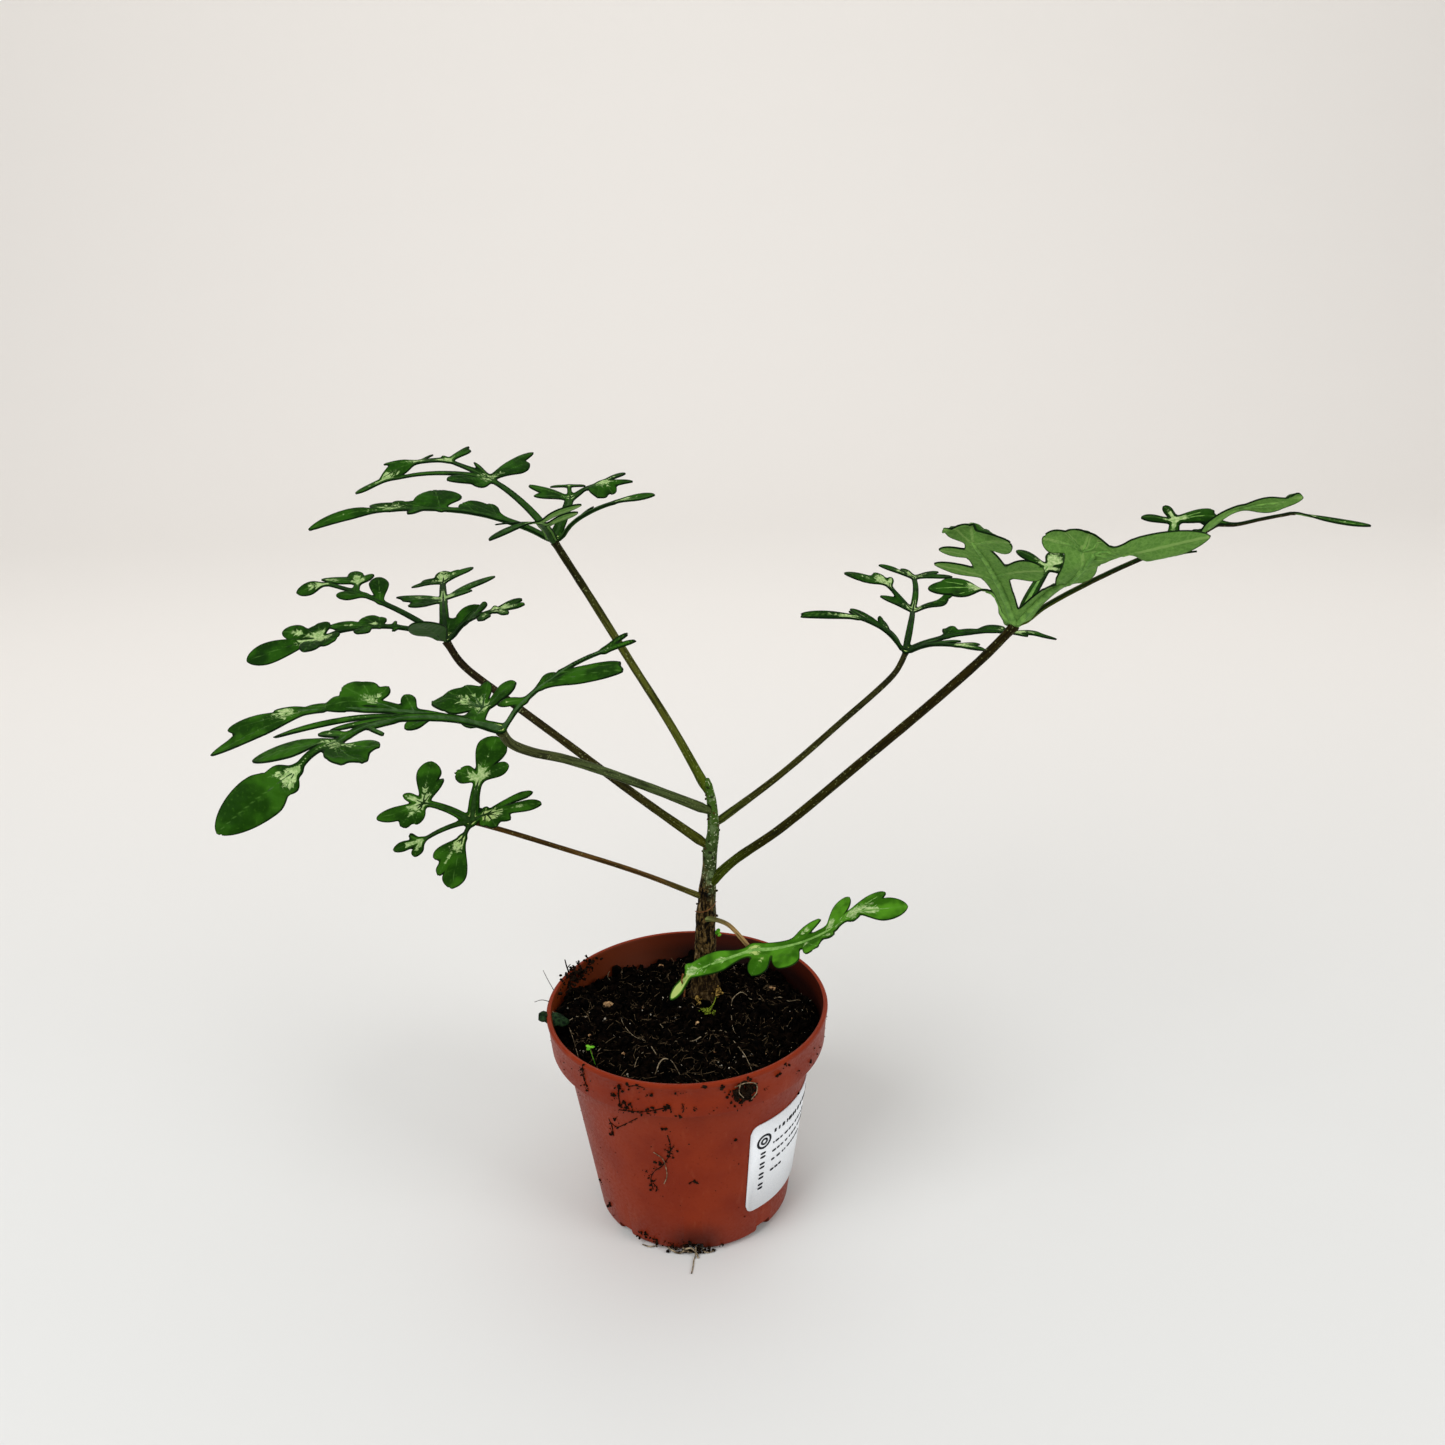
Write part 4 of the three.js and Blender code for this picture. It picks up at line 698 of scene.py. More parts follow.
def wall_patch(bm, start, end, bottom, top, corner=0.12, off=PRINT_OFF):
    """A patch of the wall's surface, cut from a grid: degrees round, millimetres up, rounded corners."""
    per_degree = math.radians(1) * body_radius((bottom + top) / 2)
    columns = max(2, math.ceil((end - start) / 1.2))
    grid = bmesh.ops.create_grid(bm, x_segments=columns, y_segments=1, size=0.5)["verts"]
    for v in grid:
        turn = start + (end - start) * (v.co.x + 0.5)
        inside = max(corner - min(turn - start, end - turn) * per_degree, 0)
        inset = corner - math.sqrt(max(corner**2 - inside**2, 0))
        z = bottom + inset + (top - bottom - 2 * inset) * (v.co.y + 0.5)
        v.co = on_wall(turn, z, off) * MM


def wall_ring(bm, turn, z, radius, wide):
    """A plain flat ring of print on the wall: its middle, outer radius and width in millimetres."""
    inner = bmesh.ops.create_circle(bm, segments=28, radius=radius - wide)["verts"]
    outer, _ = extruded(bm, list({e for v in inner for e in v.link_edges}))
    for v in outer:
        v.co *= radius / (radius - wide)
    per_degree = math.radians(1) * body_radius(z)
    for v in (*inner, *outer):
        v.co = on_wall(turn + v.co.x / per_degree, z + v.co.y, PRINT_OFF) * MM
    for face in {f for v in outer for f in v.link_faces}:
        face.normal_update()
        if face.normal.dot(face.calc_center_median()) < 0:
            face.normal_flip()


def label():
    """A paper label with rounded corners: bare but for plain bars and rings of generic print."""
    bm = bmesh.new()
    wall_patch(bm, LABEL_START, LABEL_END, LABEL_BOTTOM, LABEL_TOP, LABEL_CORNER, LABEL_OFF)
    thicken(piece("paper_label", bm, [LABEL_PAPER], "pot_label", slot="label_paper"), LABEL_THICK, 1)
    ink = bmesh.new()
    dice = random.Random(3)
    for z in (34.4, 30, 25.6, 21.2):  # a column of short plain bars
        for low in (z, z + 1.6):
            wall_patch(ink, LABEL_START + 6.6, LABEL_START + 9.8, low, low + 0.8)
    for radius, wide in ((2.9, 0.8), (1.4, 0.7)):
        wall_ring(ink, LABEL_START + 8.2, 41.3, radius, wide)
    # Rows of bars where lines of print would be: height, length in degrees and how tall they are
    for z, length, tall in ((42.6, 42, 1.5), (38.0, 34, 0.8), (34.4, 38, 0.8), (30.8, 30, 0.8), (26.4, 7, 0.8)):
        turn = LABEL_START + 14.5
        end = turn + length
        while turn < end:
            bar = dice.uniform(0.8, 3.2)
            wall_patch(ink, turn, turn + bar, z, z + tall)
            turn += bar + dice.choice((0.8, 0.8, 1.7))
    thicken(piece("label_print", ink, [LABEL_INK], slot="label_paper"), INK_THICK, 1)


# The soil's mounds, at the rim on the left, round the stem and at the right: x, y, height and spread
MOUNDS = [(-37, 5, 6.2, 230), (5, 12, 3.2, 110), (37, -2, 1.8, 260)]


# The soil and what lies on it
def heap(x, y):
    """The soil's height: gently uneven, with its mounds."""
    height = SOIL_LEVEL + 1.1 * math.sin(x / 5.1 + 1) * math.cos(y / 6.3) + 0.7 * math.sin(x / 2.3 + y / 3.1)
    for left, back, high, spread in MOUNDS:
        height += high * math.exp(-((x - left) ** 2 + (y - back) ** 2) / spread)
    return height


def ground(x, y):
    """The soil's lumpy surface: the heap with clods of a few millimetres and crumbs of one."""
    clods = noise.fractal((x / 3.6, y / 3.6, 0), 0.75, 2.2, 4)
    crumbs = 1 - 2 * abs(noise.noise((x / 1.3, y / 1.3, 5)))
    return heap(x, y) + 1.5 * clods + 0.5 * crumbs


def soil():
    """The peat: a fine grid cut to a disc and heaped, with its rim carried down inside the pot."""
    bm = bmesh.new()
    size = SOIL_RADIUS * 1.02
    bmesh.ops.create_grid(bm, x_segments=SOIL_CELLS, y_segments=SOIL_CELLS, size=size)
    bmesh.ops.triangulate(bm, faces=bm.faces[:])
    reach_out = SOIL_RADIUS + size / SOIL_CELLS
    bmesh.ops.delete(bm, geom=[v for v in bm.verts if v.co.xy.length > reach_out], context="VERTS")
    for v in bm.verts:
        if v.is_boundary or v.co.xy.length > SOIL_RADIUS:
            v.co.xy = v.co.xy.normalized() * SOIL_RADIUS
    for v in bm.verts:
        near_wall = float(smooth(v.co.xy.length, SOIL_RADIUS - 3, SOIL_RADIUS))
        v.co.z = ground(v.co.x, v.co.y) * (1 - near_wall) + (heap(v.co.x, v.co.y) - 0.3) * near_wall
    edges, foot = [e for e in bm.edges if e.is_boundary], POT_HEIGHT - LIP_HEIGHT
    for r, z in ((SOIL_RADIUS, foot + 1.8), (BODY_TOP_RADIUS - POT_WALL - 0.2, foot - 1.4),
                 (BASE_RADIUS - POT_FILLET - 1.8, POT_WALL + 0.3)):
        verts, edges = extruded(bm, edges)
        for v in verts:
            v.co = Vector((*(v.co.xy.normalized() * r), z))
    bmesh.ops.contextual_create(bm, geom=edges)
    bmesh.ops.scale(bm, vec=(MM, MM, MM), verts=bm.verts)
    piece("peat", bm, [PEAT], "soil", slot="potting_soil")


def crumb(bm, centre, size, dice, flat=1.0):
    """One lump: a small faceted ball, knocked out of round."""
    angle, axis = dice.uniform(0, math.tau), Vector((dice.random(), dice.random(), dice.random() + 0.01))
    turned = Matrix.Rotation(angle, 4, axis)
    shape = Matrix.Diagonal((1, dice.uniform(0.55, 1), flat * dice.uniform(0.5, 0.9), 1))
    matrix = Matrix.Translation(Vector(centre) * MM) @ turned @ shape
    for v in bmesh.ops.create_icosphere(bm, subdivisions=1, radius=size / 2 * MM, matrix=matrix)["verts"]:
        v.co += Vector([dice.uniform(-1, 1) for _ in range(3)]) * (size * 0.12 * MM)


def scatter():
    """Crumbs of peat and pale grit over the soil, and fine brown fibres among them."""
    dice = random.Random(11)
    crumbs, grit, fibres = bmesh.new(), bmesh.new(), bmesh.new()
    kinds = ((crumbs, CRUMBS, 0.5, 3.2), (crumbs, CLODS, 2.4, 5.2), (grit, GRAINS, 0.2, 0.9))
    for bm, count, low, high in kinds:
        for batch in range(0, count, BATCH):  # small meshes added up, which is quicker than one that grows
            few, added = bmesh.new(), bpy.data.meshes.new("batch")
            for _ in range(min(BATCH, count - batch)):
                x, y = polar(CRUMB_FIELD * math.sqrt(dice.random()), dice.uniform(0, math.tau))
                size = low + (high - low) * dice.random() ** 2.6
                crumb(few, (x, y, ground(x, y) + size * 0.12), size, dice)
            few.to_mesh(added)
            few.free()
            bm.from_mesh(added)
            bpy.data.meshes.remove(added)
    for _ in range(FIBRES):
        x, y = polar(FIBRE_FIELD * math.sqrt(dice.random()), dice.uniform(0, math.tau))
        bearing, length = dice.uniform(0, math.tau), dice.uniform(2.5, 8)
        path = []
        for k in range(5):
            u, v = (a + b for a, b in zip((x, y), polar(length * k / 4, bearing)))
            bearing += dice.uniform(-0.35, 0.35)
            if math.hypot(u, v) < 41:
                path.append(Vector((u, v, ground(u, v) + 0.35 + dice.uniform(0, 0.7))))
        if len(path) > 2:
            tube(fibres, path, [dice.uniform(0.04, 0.1)] * len(path), 5)
    piece("peat_crumbs", crumbs, [PEAT_CRUMBS], slot="potting_soil", smooth_shaded=False)
    piece("grit", grit, [GRIT], slot="potting_soil", smooth_shaded=False)
    piece("peat_fibres", fibres, [FIBRE], slot="potting_soil")


# Root hairs on the soil: points (x, y, height over the soil) and radius
ROOT_HAIRS = [
    ([(-29, 38.5, 3.5), (-27.5, 37, 1.8), (-27.1, 34.2, 0.8), (-27.8, 30, 0.5), (-25.8, 26.5, 0.5),
      (-22.9, 21.6, 0.6), (-20.9, 17.5, 0.4)], 0.17),
    ([(-12.2, -8.4, 0.5), (-11.3, -13.5, 0.8), (-9.5, -18.6, 0.4)], 0.24),
    ([(-9.7, -26.9, 0.3), (-8.4, -24.3, 1.6), (-7, -23, 2.3), (-5, -22.6, 2.2), (-3.5, -24.5, 1.4),
      (-2.2, -27.6, 0.3)], 0.26),
    ([(-4, -10.6, 0.4), (1.8, -9.4, 0.6), (6.6, -6.9, 0.6), (11.1, -5.5, 0.7), (13.2, -6.1, 0.4)], 0.27),
    ([(14.5, -11.5, 0.4), (15.7, -16, 0.9), (18, -21.9, 0.9), (19.8, -27, 0.5)], 0.2),
    ([(-43, -2.4, 5.2), (-39.1, -3.8, 0.7), (-35.3, -2.4, 0.4), (-31.2, -1.6, 0.4)], 0.3),
    ([(14.1, 6.8, 0.4), (14.9, 11.9, 0.8), (17.5, 14.6, 0.9), (19.3, 13.4, 0.6), (20.3, 11.5, 0.7),
      (23.9, 11, 0.4)], 0.2),
    ([(-11.2, 5.3, 0.4), (-9.5, 0.9, 0.7), (-8, -2.3, 0.4)], 0.17),
    ([(-23, -8.1, 0.4), (-25.6, -10.4, 0.8), (-28.1, -14.9, 0.4)], 0.17),
    ([(-22.3, 3.4, 0.4), (-20.2, -2.9, 0.6), (-16.9, -7.3, 0.6), (-13.4, -8.3, 0.4)], 0.16),
    ([(-16.4, -24.1, 0.4), (-15.3, -19.6, 0.8), (-13.1, -16.5, 0.4)], 0.14),
    ([(-37.6, -6, 0.4), (-36, -10.5, 0.8), (-34.2, -16, 0.4)], 0.14),
    ([(27.5, 12.2, 0.4), (30.4, 14, 0.8), (33.1, 10.6, 0.7), (36.7, 10.4, 0.4)], 0.2),
    ([(14, 2.7, 0.4), (14.6, -3.5, 0.7), (15.6, -6, 0.4)], 0.15),
]


def root_hairs():
    """Fine white roots that come up out of the soil and taper as they go back in."""
    bm = bmesh.new()
    for points, radius in ROOT_HAIRS:
        points = [(x, y, heap(x, y) + 0.6 + over) for x, y, over in points]
        path = smooth_path(points, 8 * (len(points) - 1))
        tube(bm, path, [0.75 * radius * (1 - 0.35 * i / len(path)) for i in range(len(path))], 6)
    piece("root_hairs", bm, [ROOT_SKIN], slot="potting_soil")


# Soil on the pot's outside: degrees round, millimetres up, spread and number of flecks
SMEARS = [
    (-116, 70, 1.2, 9), (-109, 72, 1.6, 10), (-103.7, 69.9, 0.8, 9), (-115.6, 63.6, 1.5, 12),
    (-110, 63.2, 1.6, 13), (-104.3, 63.8, 1.4, 10), (-97.6, 65.6, 1.1, 8), (-124, 52.4, 1.4, 9),
    (-129.4, 47.5, 1, 8), (-129, 45, 0.8, 6), (-92, 71.4, 1, 7), (-86.4, 65.6, 0.9, 8),
    (-76.4, 72.4, 0.6, 4), (-93.2, 62.7, 0.6, 4), (-100.3, 53.7, 0.8, 5), (-99.2, 46, 1.6, 11),
    (-98.4, 43, 1.2, 9), (-106.9, 38.5, 1.6, 8), (-110.1, 31, 1.3, 9), (-109.2, 27.2, 0.9, 6),
    (-88.5, 31.7, 0.9, 6), (-67.6, 46.1, 0.8, 6), (-52.4, 69.5, 1, 6), (-57.3, 66.6, 0.8, 6),
    (-48.2, 72, 1, 5), (-40.8, 66.4, 0.8, 5), (-26.1, 49, 0.7, 3), (-30.6, 65.2, 0.9, 5),
    (-155.7, 14.9, 1, 5), (-133.3, 69.5, 1.3, 9), (-134.3, 65.5, 1.1, 8), (-134.3, 72, 0.8, 6),
    (-112.6, 34.3, 0.6, 3), (-82.9, 73, 0.6, 4), (-119, 67, 1, 8), (-119.7, 4, 2.2, 16),
    (-112, 3.2, 2.2, 16), (-104, 3, 1.6, 12), (-94, 4, 2, 14), (-88, 3.4, 1.6, 10), (-150, 8, 2, 10),
]
# Smeared threads of soil on the wall, each a run of (degrees round, millimetres up)
TRAILS = [
    [(-133.5, 74), (-134.2, 69.5), (-133, 65.5)], [(-112, 72), (-109, 72.9), (-106, 72.6)],
    [(-116.5, 70.6), (-117, 66.8), (-116.4, 63)],
    [(-116.2, 64), (-115, 66), (-113.8, 63.6), (-112.6, 65.4), (-111.6, 63.8)],
    [(-117.4, 61.9), (-112, 62.6), (-106.5, 63.4), (-97, 66)], [(-99, 64.6), (-97, 66), (-96, 64.9)],
    [(-129.8, 51.8), (-128.6, 48.6), (-129, 45.2)],
    [(-129.4, 50.6), (-125.6, 49.6), (-122, 51.2), (-117.6, 53.8), (-113, 56.4)],
    [(-99.5, 51.2), (-98.6, 47), (-99.5, 42.8), (-101.6, 40.2), (-104, 37.6), (-107.4, 35.6), (-110.5, 31.6),
     (-110, 26.8)],
    [(-97.4, 46.6), (-99.4, 44.4), (-101, 45)], [(-109.6, 29.8), (-107.8, 28), (-108.6, 26.4)],
    [(-90.8, 31.2), (-88.4, 32), (-86.2, 30.7)], [(-91.6, 67.4), (-91, 65.6), (-91.6, 64)],
    [(-96, 61.6), (-88, 61.2), (-78, 61.4), (-70, 61.3)], [(-66, 61.4), (-60, 61.3), (-52, 61.4)],
]
# Loose roots on the wall and the clod, as (degrees round, millimetres up, off the wall) and radius
WALL_ROOTS = [
    ([(-107.1, 43.4, 0.2), (-103.1, 41.4, 0.3), (-101.7, 37.9, 0.4), (-101.7, 33.9, 0.3),
      (-103.6, 30.4, 0.2)], 0.12),
    ([(-71.6, 71.8, 0.8), (-68, 73.2, 1.8), (-63.6, 71.6, 1.6), (-62.8, 68, 1.2), (-64.4, 65.2, 0.4)], 0.15),
    ([(-69.4, 73.4, 1.2), (-70.4, 70.6, 2), (-68.6, 68, 1.9)], 0.13),
]
# Roots that push out of a drain hole, as (x, y, z) and radius
HOLE_ROOTS = [
    ([(-8.5, -29.3, 0.9), (-7, -31.4, 1.5), (-5, -31.6, 0.5), (-3.2, -32.2, 1.8), (-1, -31.5, 0.6)], 0.3),
    ([(-4, -29, 1), (-3, -32.5, 2.9), (-1, -33, 3.6), (0.6, -32.6, 1.2), (1.2, -34, 0.4)], 0.28),
    ([(0, -29, 1.5), (0.5, -32.3, 3.2), (0.2, -33.3, 0.5), (-0.2, -34.6, 0.3), (-0.4, -37, 0.3),
      (-0.9, -40.5, 0.3)], 0.2),
    ([(2, -29, 1.2), (3.2, -32, 1.2), (4.6, -31.6, 0.4), (6.2, -31.2, 0.7)], 0.24),
    ([(-12, -28, 0.6), (-14.5, -28.4, 0.7), (-16.8, -27, 0.4)], 0.2),
]


def soil_on_pot():
    """Flecks, smears and one clod of soil stuck to the pot, and the roots that push out of a drain hole."""
    dice = random.Random(5)
    flecks, clod, roots = bmesh.new(), bmesh.new(), bmesh.new()
    wall_radius = 42  # near the lip, to turn millimetres into degrees
    for turn, z, spread, count in SMEARS:
        for _ in range(count):
            size = 0.3 + 1.4 * dice.random() ** 2.4
            up = min(z + dice.gauss(0, spread * 0.55), POT_HEIGHT - 0.4)
            spot = on_wall(turn + math.degrees(dice.gauss(0, spread * 0.8) / wall_radius), max(up, 1.8), 0.05)
            crumb(flecks, spot, size, dice, 0.7)
    for trail in TRAILS:
        path = smooth_path([on_wall(turn, up, 0.06) for turn, up in trail], 8 * (len(trail) - 1))
        tube(flecks, path, [dice.uniform(0.06, 0.26) for _ in path], 5)
        for place in path[::3]:
            beside = place + Vector([dice.gauss(0, 0.4) for _ in range(3)]) * 0.8
            crumb(flecks, beside, dice.uniform(0.3, 0.9), dice, 0.7)
    for _ in range(WALL_FLECKS):
        size = 0.2 + 0.5 * dice.random() ** 3
        crumb(flecks, on_wall(dice.uniform(-185, 5), dice.triangular(2, 74, 68), 0.03), size, dice, 0.7)
    for _ in range(CLOD_LUMPS):
        turn, z = dice.gauss(CLOD_TURN, 2.5), dice.gauss(CLOD_HEIGHT, 1.8)
        rounded = math.exp(-(((turn - CLOD_TURN) / 3) ** 2) - ((z - CLOD_HEIGHT) / 2.4) ** 2)
        crumb(clod, on_wall(turn, min(z, 73.5), 1.5 * rounded * dice.random()), dice.uniform(0.5, 1.5), dice)
    wall_roots = [([on_wall(*point) for point in points], radius) for points, radius in WALL_ROOTS]
    for points, radius in wall_roots + HOLE_ROOTS:
        path = smooth_path(points, 8 * (len(points) - 1))
        tube(roots, path, [radius] * len(path), 6)
    for _ in range(DAMP_LUMPS):  # damp soil held by those roots
        x = dice.gauss(-1, 4)
        y = -math.sqrt(max(31.5**2 - x * x, 0)) + dice.uniform(-0.6, 0.6)
        crumb(clod, (x, y, dice.uniform(0.4, 2.2)), dice.uniform(0.5, 1.4), dice)
    piece("soil_flecks", flecks, [DRIED_SOIL], slot="potting_soil", smooth_shaded=False)
    piece("soil_clod", clod, [DRIED_SOIL], slot="potting_soil", smooth_shaded=False)
    piece("drain_roots", roots, [ROOT_SKIN], slot="potting_soil")


# Chips on the soil: x, y and size. Cork at the stem's foot: middle, spread and count
CHIPS = [
    (-26.4, 6.6, 4), (28, 20, 2.8), (-10, 36, 2.6), (3, -2.4, 1.7), (19, -10.4, 1.6), (-20, -15.4, 1.5),
    (-15.5, 8.6, 1.5), (8.6, -14.6, 1.3), (33, -3, 1.4), (-31, -9, 1.2), (24, -18, 1.2),
]
CORK_LUMPS = [((9.6, 9.4, 71), 1.5, 46), ((1.6, 9.2, 67.8), 1, 24), ((3.6, 8.2, 68.6), 1.4, 18)]
# Twigs that stand up at the rim: points and radius
TWIGS = [
    ([(-39.5, 19.5, 73.6), (-40.2, 19.8, 76), (-40.6, 19.4, 79)], 0.32),
    ([(-40, 19.6, 75.8), (-38.9, 19.4, 77.2)], 0.22),
    ([(-43.6, 9.4, 73.4), (-45.4, 9.8, 77.4), (-46.7, 10, 80.9)], 0.14),
    ([(-43.8, 2.4, 73.6), (-46.8, 2, 74.8), (-49.1, 1.5, 74.4)], 0.14),
    ([(-36, 22, 71), (-38, 20.5, 74.2), (-37, 18, 74.6)], 0.3),
]


def nubs_at_stalks(nubs, dice):
    """Brown nubs on the stem, beside and below the foot of each leaf stalk."""
    across, back, heights, sizes = zip(*STEM)
    for (foot, beyond, *_), *_ in PETIOLES.values():
        outwards = Vector((beyond[0] - foot[0], beyond[1] - foot[1], 0)).normalized()
        for turn, up in ((-62, 0.6), (62, 0.2), (0, -1.9)):
            z = foot[2] + up
            x, y, r = (float(np.interp(z, heights, values)) for values in (across, back, sizes))
            beside = Matrix.Rotation(math.radians(turn), 3, "Z") @ outwards
            crumb(nubs, Vector((x, y, z)) + beside * (r + 0.2), dice.uniform(0.8, 1.2), dice)


def ball(bm, place, shape, radius=1.0):
    """A smooth ball, drawn out by shape."""
    matrix = place @ Matrix.Diagonal((*shape, 1))
    bmesh.ops.create_uvsphere(bm, u_segments=12, v_segments=8, radius=radius * MM, matrix=matrix)


def dead_leaf():
    """A dark scrap of dead leaf that droops over the rim."""
    scrap = bmesh.new()
    bmesh.ops.create_grid(scrap, x_segments=14, y_segments=8, size=0.5)
    for v in list(scrap.verts):
        u, w = v.co.x + 0.5, v.co.y
        width = 7.5 * math.sin(math.pi * min(u * 0.9 + 0.08, 1)) ** 0.6
        width *= 1 + 0.25 * noise.noise((u * 7, 3, 1))
        z = 74.6 - 3.4 * u**1.6 - 5 * w * w + 0.8 * noise.noise((u * 4, w * 3, 0))
        v.co = Vector((-47 + 9.4 * u, -5.6 + width * w + 1.2 * u, z)) * MM
    thicken(piece("dead_leaf_scrap", scrap, [DEAD_LEAF]), 0.25, -1)


def bits():
    """The small things on the soil, rim and stem."""
    dice = random.Random(23)
    chips, cork, moss, sprout, twigs, husk, nubs = (bmesh.new() for _ in range(7))
    for x, y, size in CHIPS:
        crumb(chips, (x, y, heap(x, y) + 0.9), size, dice, 0.7)
        crumb(chips, (x + size * 0.25, y - size * 0.2, heap(x, y) + 1), size * 0.6, dice, 0.8)
    for middle, spread, count in CORK_LUMPS:
        for _ in range(count):
            place = [a + dice.gauss(0, spread * share) for a, share in zip(middle, (0.5, 0.5, 0.6))]
            crumb(cork, place, dice.uniform(0.6, 1.5), dice)
    for _ in range(MOSS_LUMPS):
        x, y = 6.4 + dice.gauss(0, 1.2), 3.4 + dice.gauss(0, 0.8)
        crumb(moss, (x, y, heap(x, y) + 0.8 + dice.random()), dice.uniform(0.35, 0.9), dice)
    for end in ((6, 3.6), (7.2, 3.9), (6.7, 3.2)):
        path = smooth_path([(9.2, 8, 70.2), (8.4, 6, 69), (*end, heap(*end) + 1.2)], 8)
        tube(moss, path, [0.16] * len(path), 5)
    stalk = smooth_path([(-28.6, -20.1, 65), (-29.1, -20.3, 67.4), (-30, -20, 71)], 10)
    tube(sprout, stalk, [0.13] * len(stalk), 6)
    nubs_at_stalks(nubs, dice)
    for bearing in map(math.radians, (10, 130, 250)):  # the seedling's leaves
        middle = Vector((-30, -20, 71.1)) + Vector((*polar(1, bearing), 0.25)) * 0.75
        place = Matrix.Translation(middle * MM) @ Matrix.Rotation(bearing, 4, "Z")
        ball(sprout, place, (1.15, 0.8, 0.3), 0.8)
    for points, radius in TWIGS:
        tube(twigs, smooth_path(points, 10), [radius * (1 - 0.4 * i / 10) for i in range(11)], 6)
    for _ in range(RIM_LUMPS):  # soil heaped over the rim at the back left
        turn, r = math.radians(dice.gauss(152, 7)), dice.uniform(40.5, 44.6)
        place = (*polar(r, turn), 73.2 + dice.gauss(0, 1.1) - (44 - r) * 0.5)
        crumb(twigs, place, dice.uniform(0.5, 1.7), dice)
    dead_leaf()
    # A curled green bud on the stem, then a husk: a tie round the low leaf's stalk and a thread below its tip
    buds = (((10.5, 6.2, 95.6), (0.75, 0.55, 1.2), 0.5), ((11, 5.7, 94.6), (0.5, 0.4, 0.7), 0.9))
    for centre, shape, tilt in buds:
        ball(sprout, Matrix.Translation(Vector(centre) * MM) @ Matrix.Rotation(tilt, 4, "Y"), shape)
    tie = [(3.6, 4.4, 104.2), (5.4, 2.9, 104.6), (7.6, 2.6, 105.4), (9.6, 3.6, 106.6), (10.3, 4.6, 107.4)]
    tie = smooth_path(tie, 16)
    tube(husk, tie, [0.13] * len(tie), 5)
    thread = smooth_path([(0.2, -29.6, 102.4), (-0.3, -29.3, 99.6), (0.4, -29, 97.4), (0.2, -29.2, 94.4)], 14)
    tube(husk, thread, [0.3, *[0.24] * (len(thread) - 2), 0.34], 6)
    for name, bm, finish, rounded in (
        ("tan_chips", chips, BARK_CHIP, False), ("cork_lumps", cork, CORK, True), ("moss", moss, MOSS, True),
        ("sprout", sprout, SPROUT, True), ("twigs", twigs, DRIED_SOIL, False), ("husk", husk, HUSK, True),
        ("stalk_nubs", nubs, NUB, True),
    ):
        piece(name, bm, [finish], smooth_shaded=rounded)


# Finishes. Object coordinates are metres, so a scale of 1000 / d gives a pattern of d millimetres;
# the attributes "grain" and "wrap" are millimetres already, so there 1 / d does.
# Sockets whose names repeat go by number. Mix: 0 is the share, 6 and 7 the colours, and it gives 2.
# MapRange: 0 is the value, 1 and 2 what it runs between, 3 and 4 what becomes of those.
MIXED = {"out": 2, "data_type": "RGBA"}
EASED = {"interpolation_type": "SMOOTHSTEP"}


def mixed(tree, share, under, over):
    return node(tree, "Mix", {0: share, 6: under, 7: over}, **MIXED)


def coats(tree, colour, *layers):
    """Lays colours over one another: each with its pattern, where that starts and is full, and its share."""
    for over, where, low, high, *share in layers:
        share = node(tree, "MapRange", {0: where, 1: low, 2: high, 4: share[0] if share else 1.0}, **EASED)
        colour = mixed(tree, share, colour, over)
    return colour


def worked_out(tree, operation, *values):
    """A step of arithmetic in the shader."""
    return node(tree, "Math", dict(enumerate(values)), operation=operation)


def pattern(tree, where, scale, detail, roughness=0.5):
    return node(tree, "TexNoise", {"Vector": where, "Scale": scale, "Detail": detail, "Roughness": roughness})


def stretched(tree, where, scale):
    """The same place with the pattern drawn out along the axes whose scale is small."""
    return node(tree, "Mapping", {"Vector": where, "Scale": scale})


def part_of(tree, where, axis):
    return node(tree, "SeparateXYZ", {0: where}, axis)


def layer(tree, name, out="Fac"):
    """What the mesh carries under that name."""
    return node(tree, "Attribute", {}, out, attribute_name=name)


def object_spot(tree):
    return node(tree, "TexCoord", {}, "Object")


def finished(made, tree, shader, colour, relief, depth):
    """Joins a colour and a relief of depth millimetres to the shader."""
    bump = node(tree, "Bump", {"Height": relief, "Distance": depth * MM, "Strength": 1.0})
    tree.links.new(bump, shader.inputs["Normal"])
    tree.links.new(colour, shader.inputs["Base Color"])
    return made


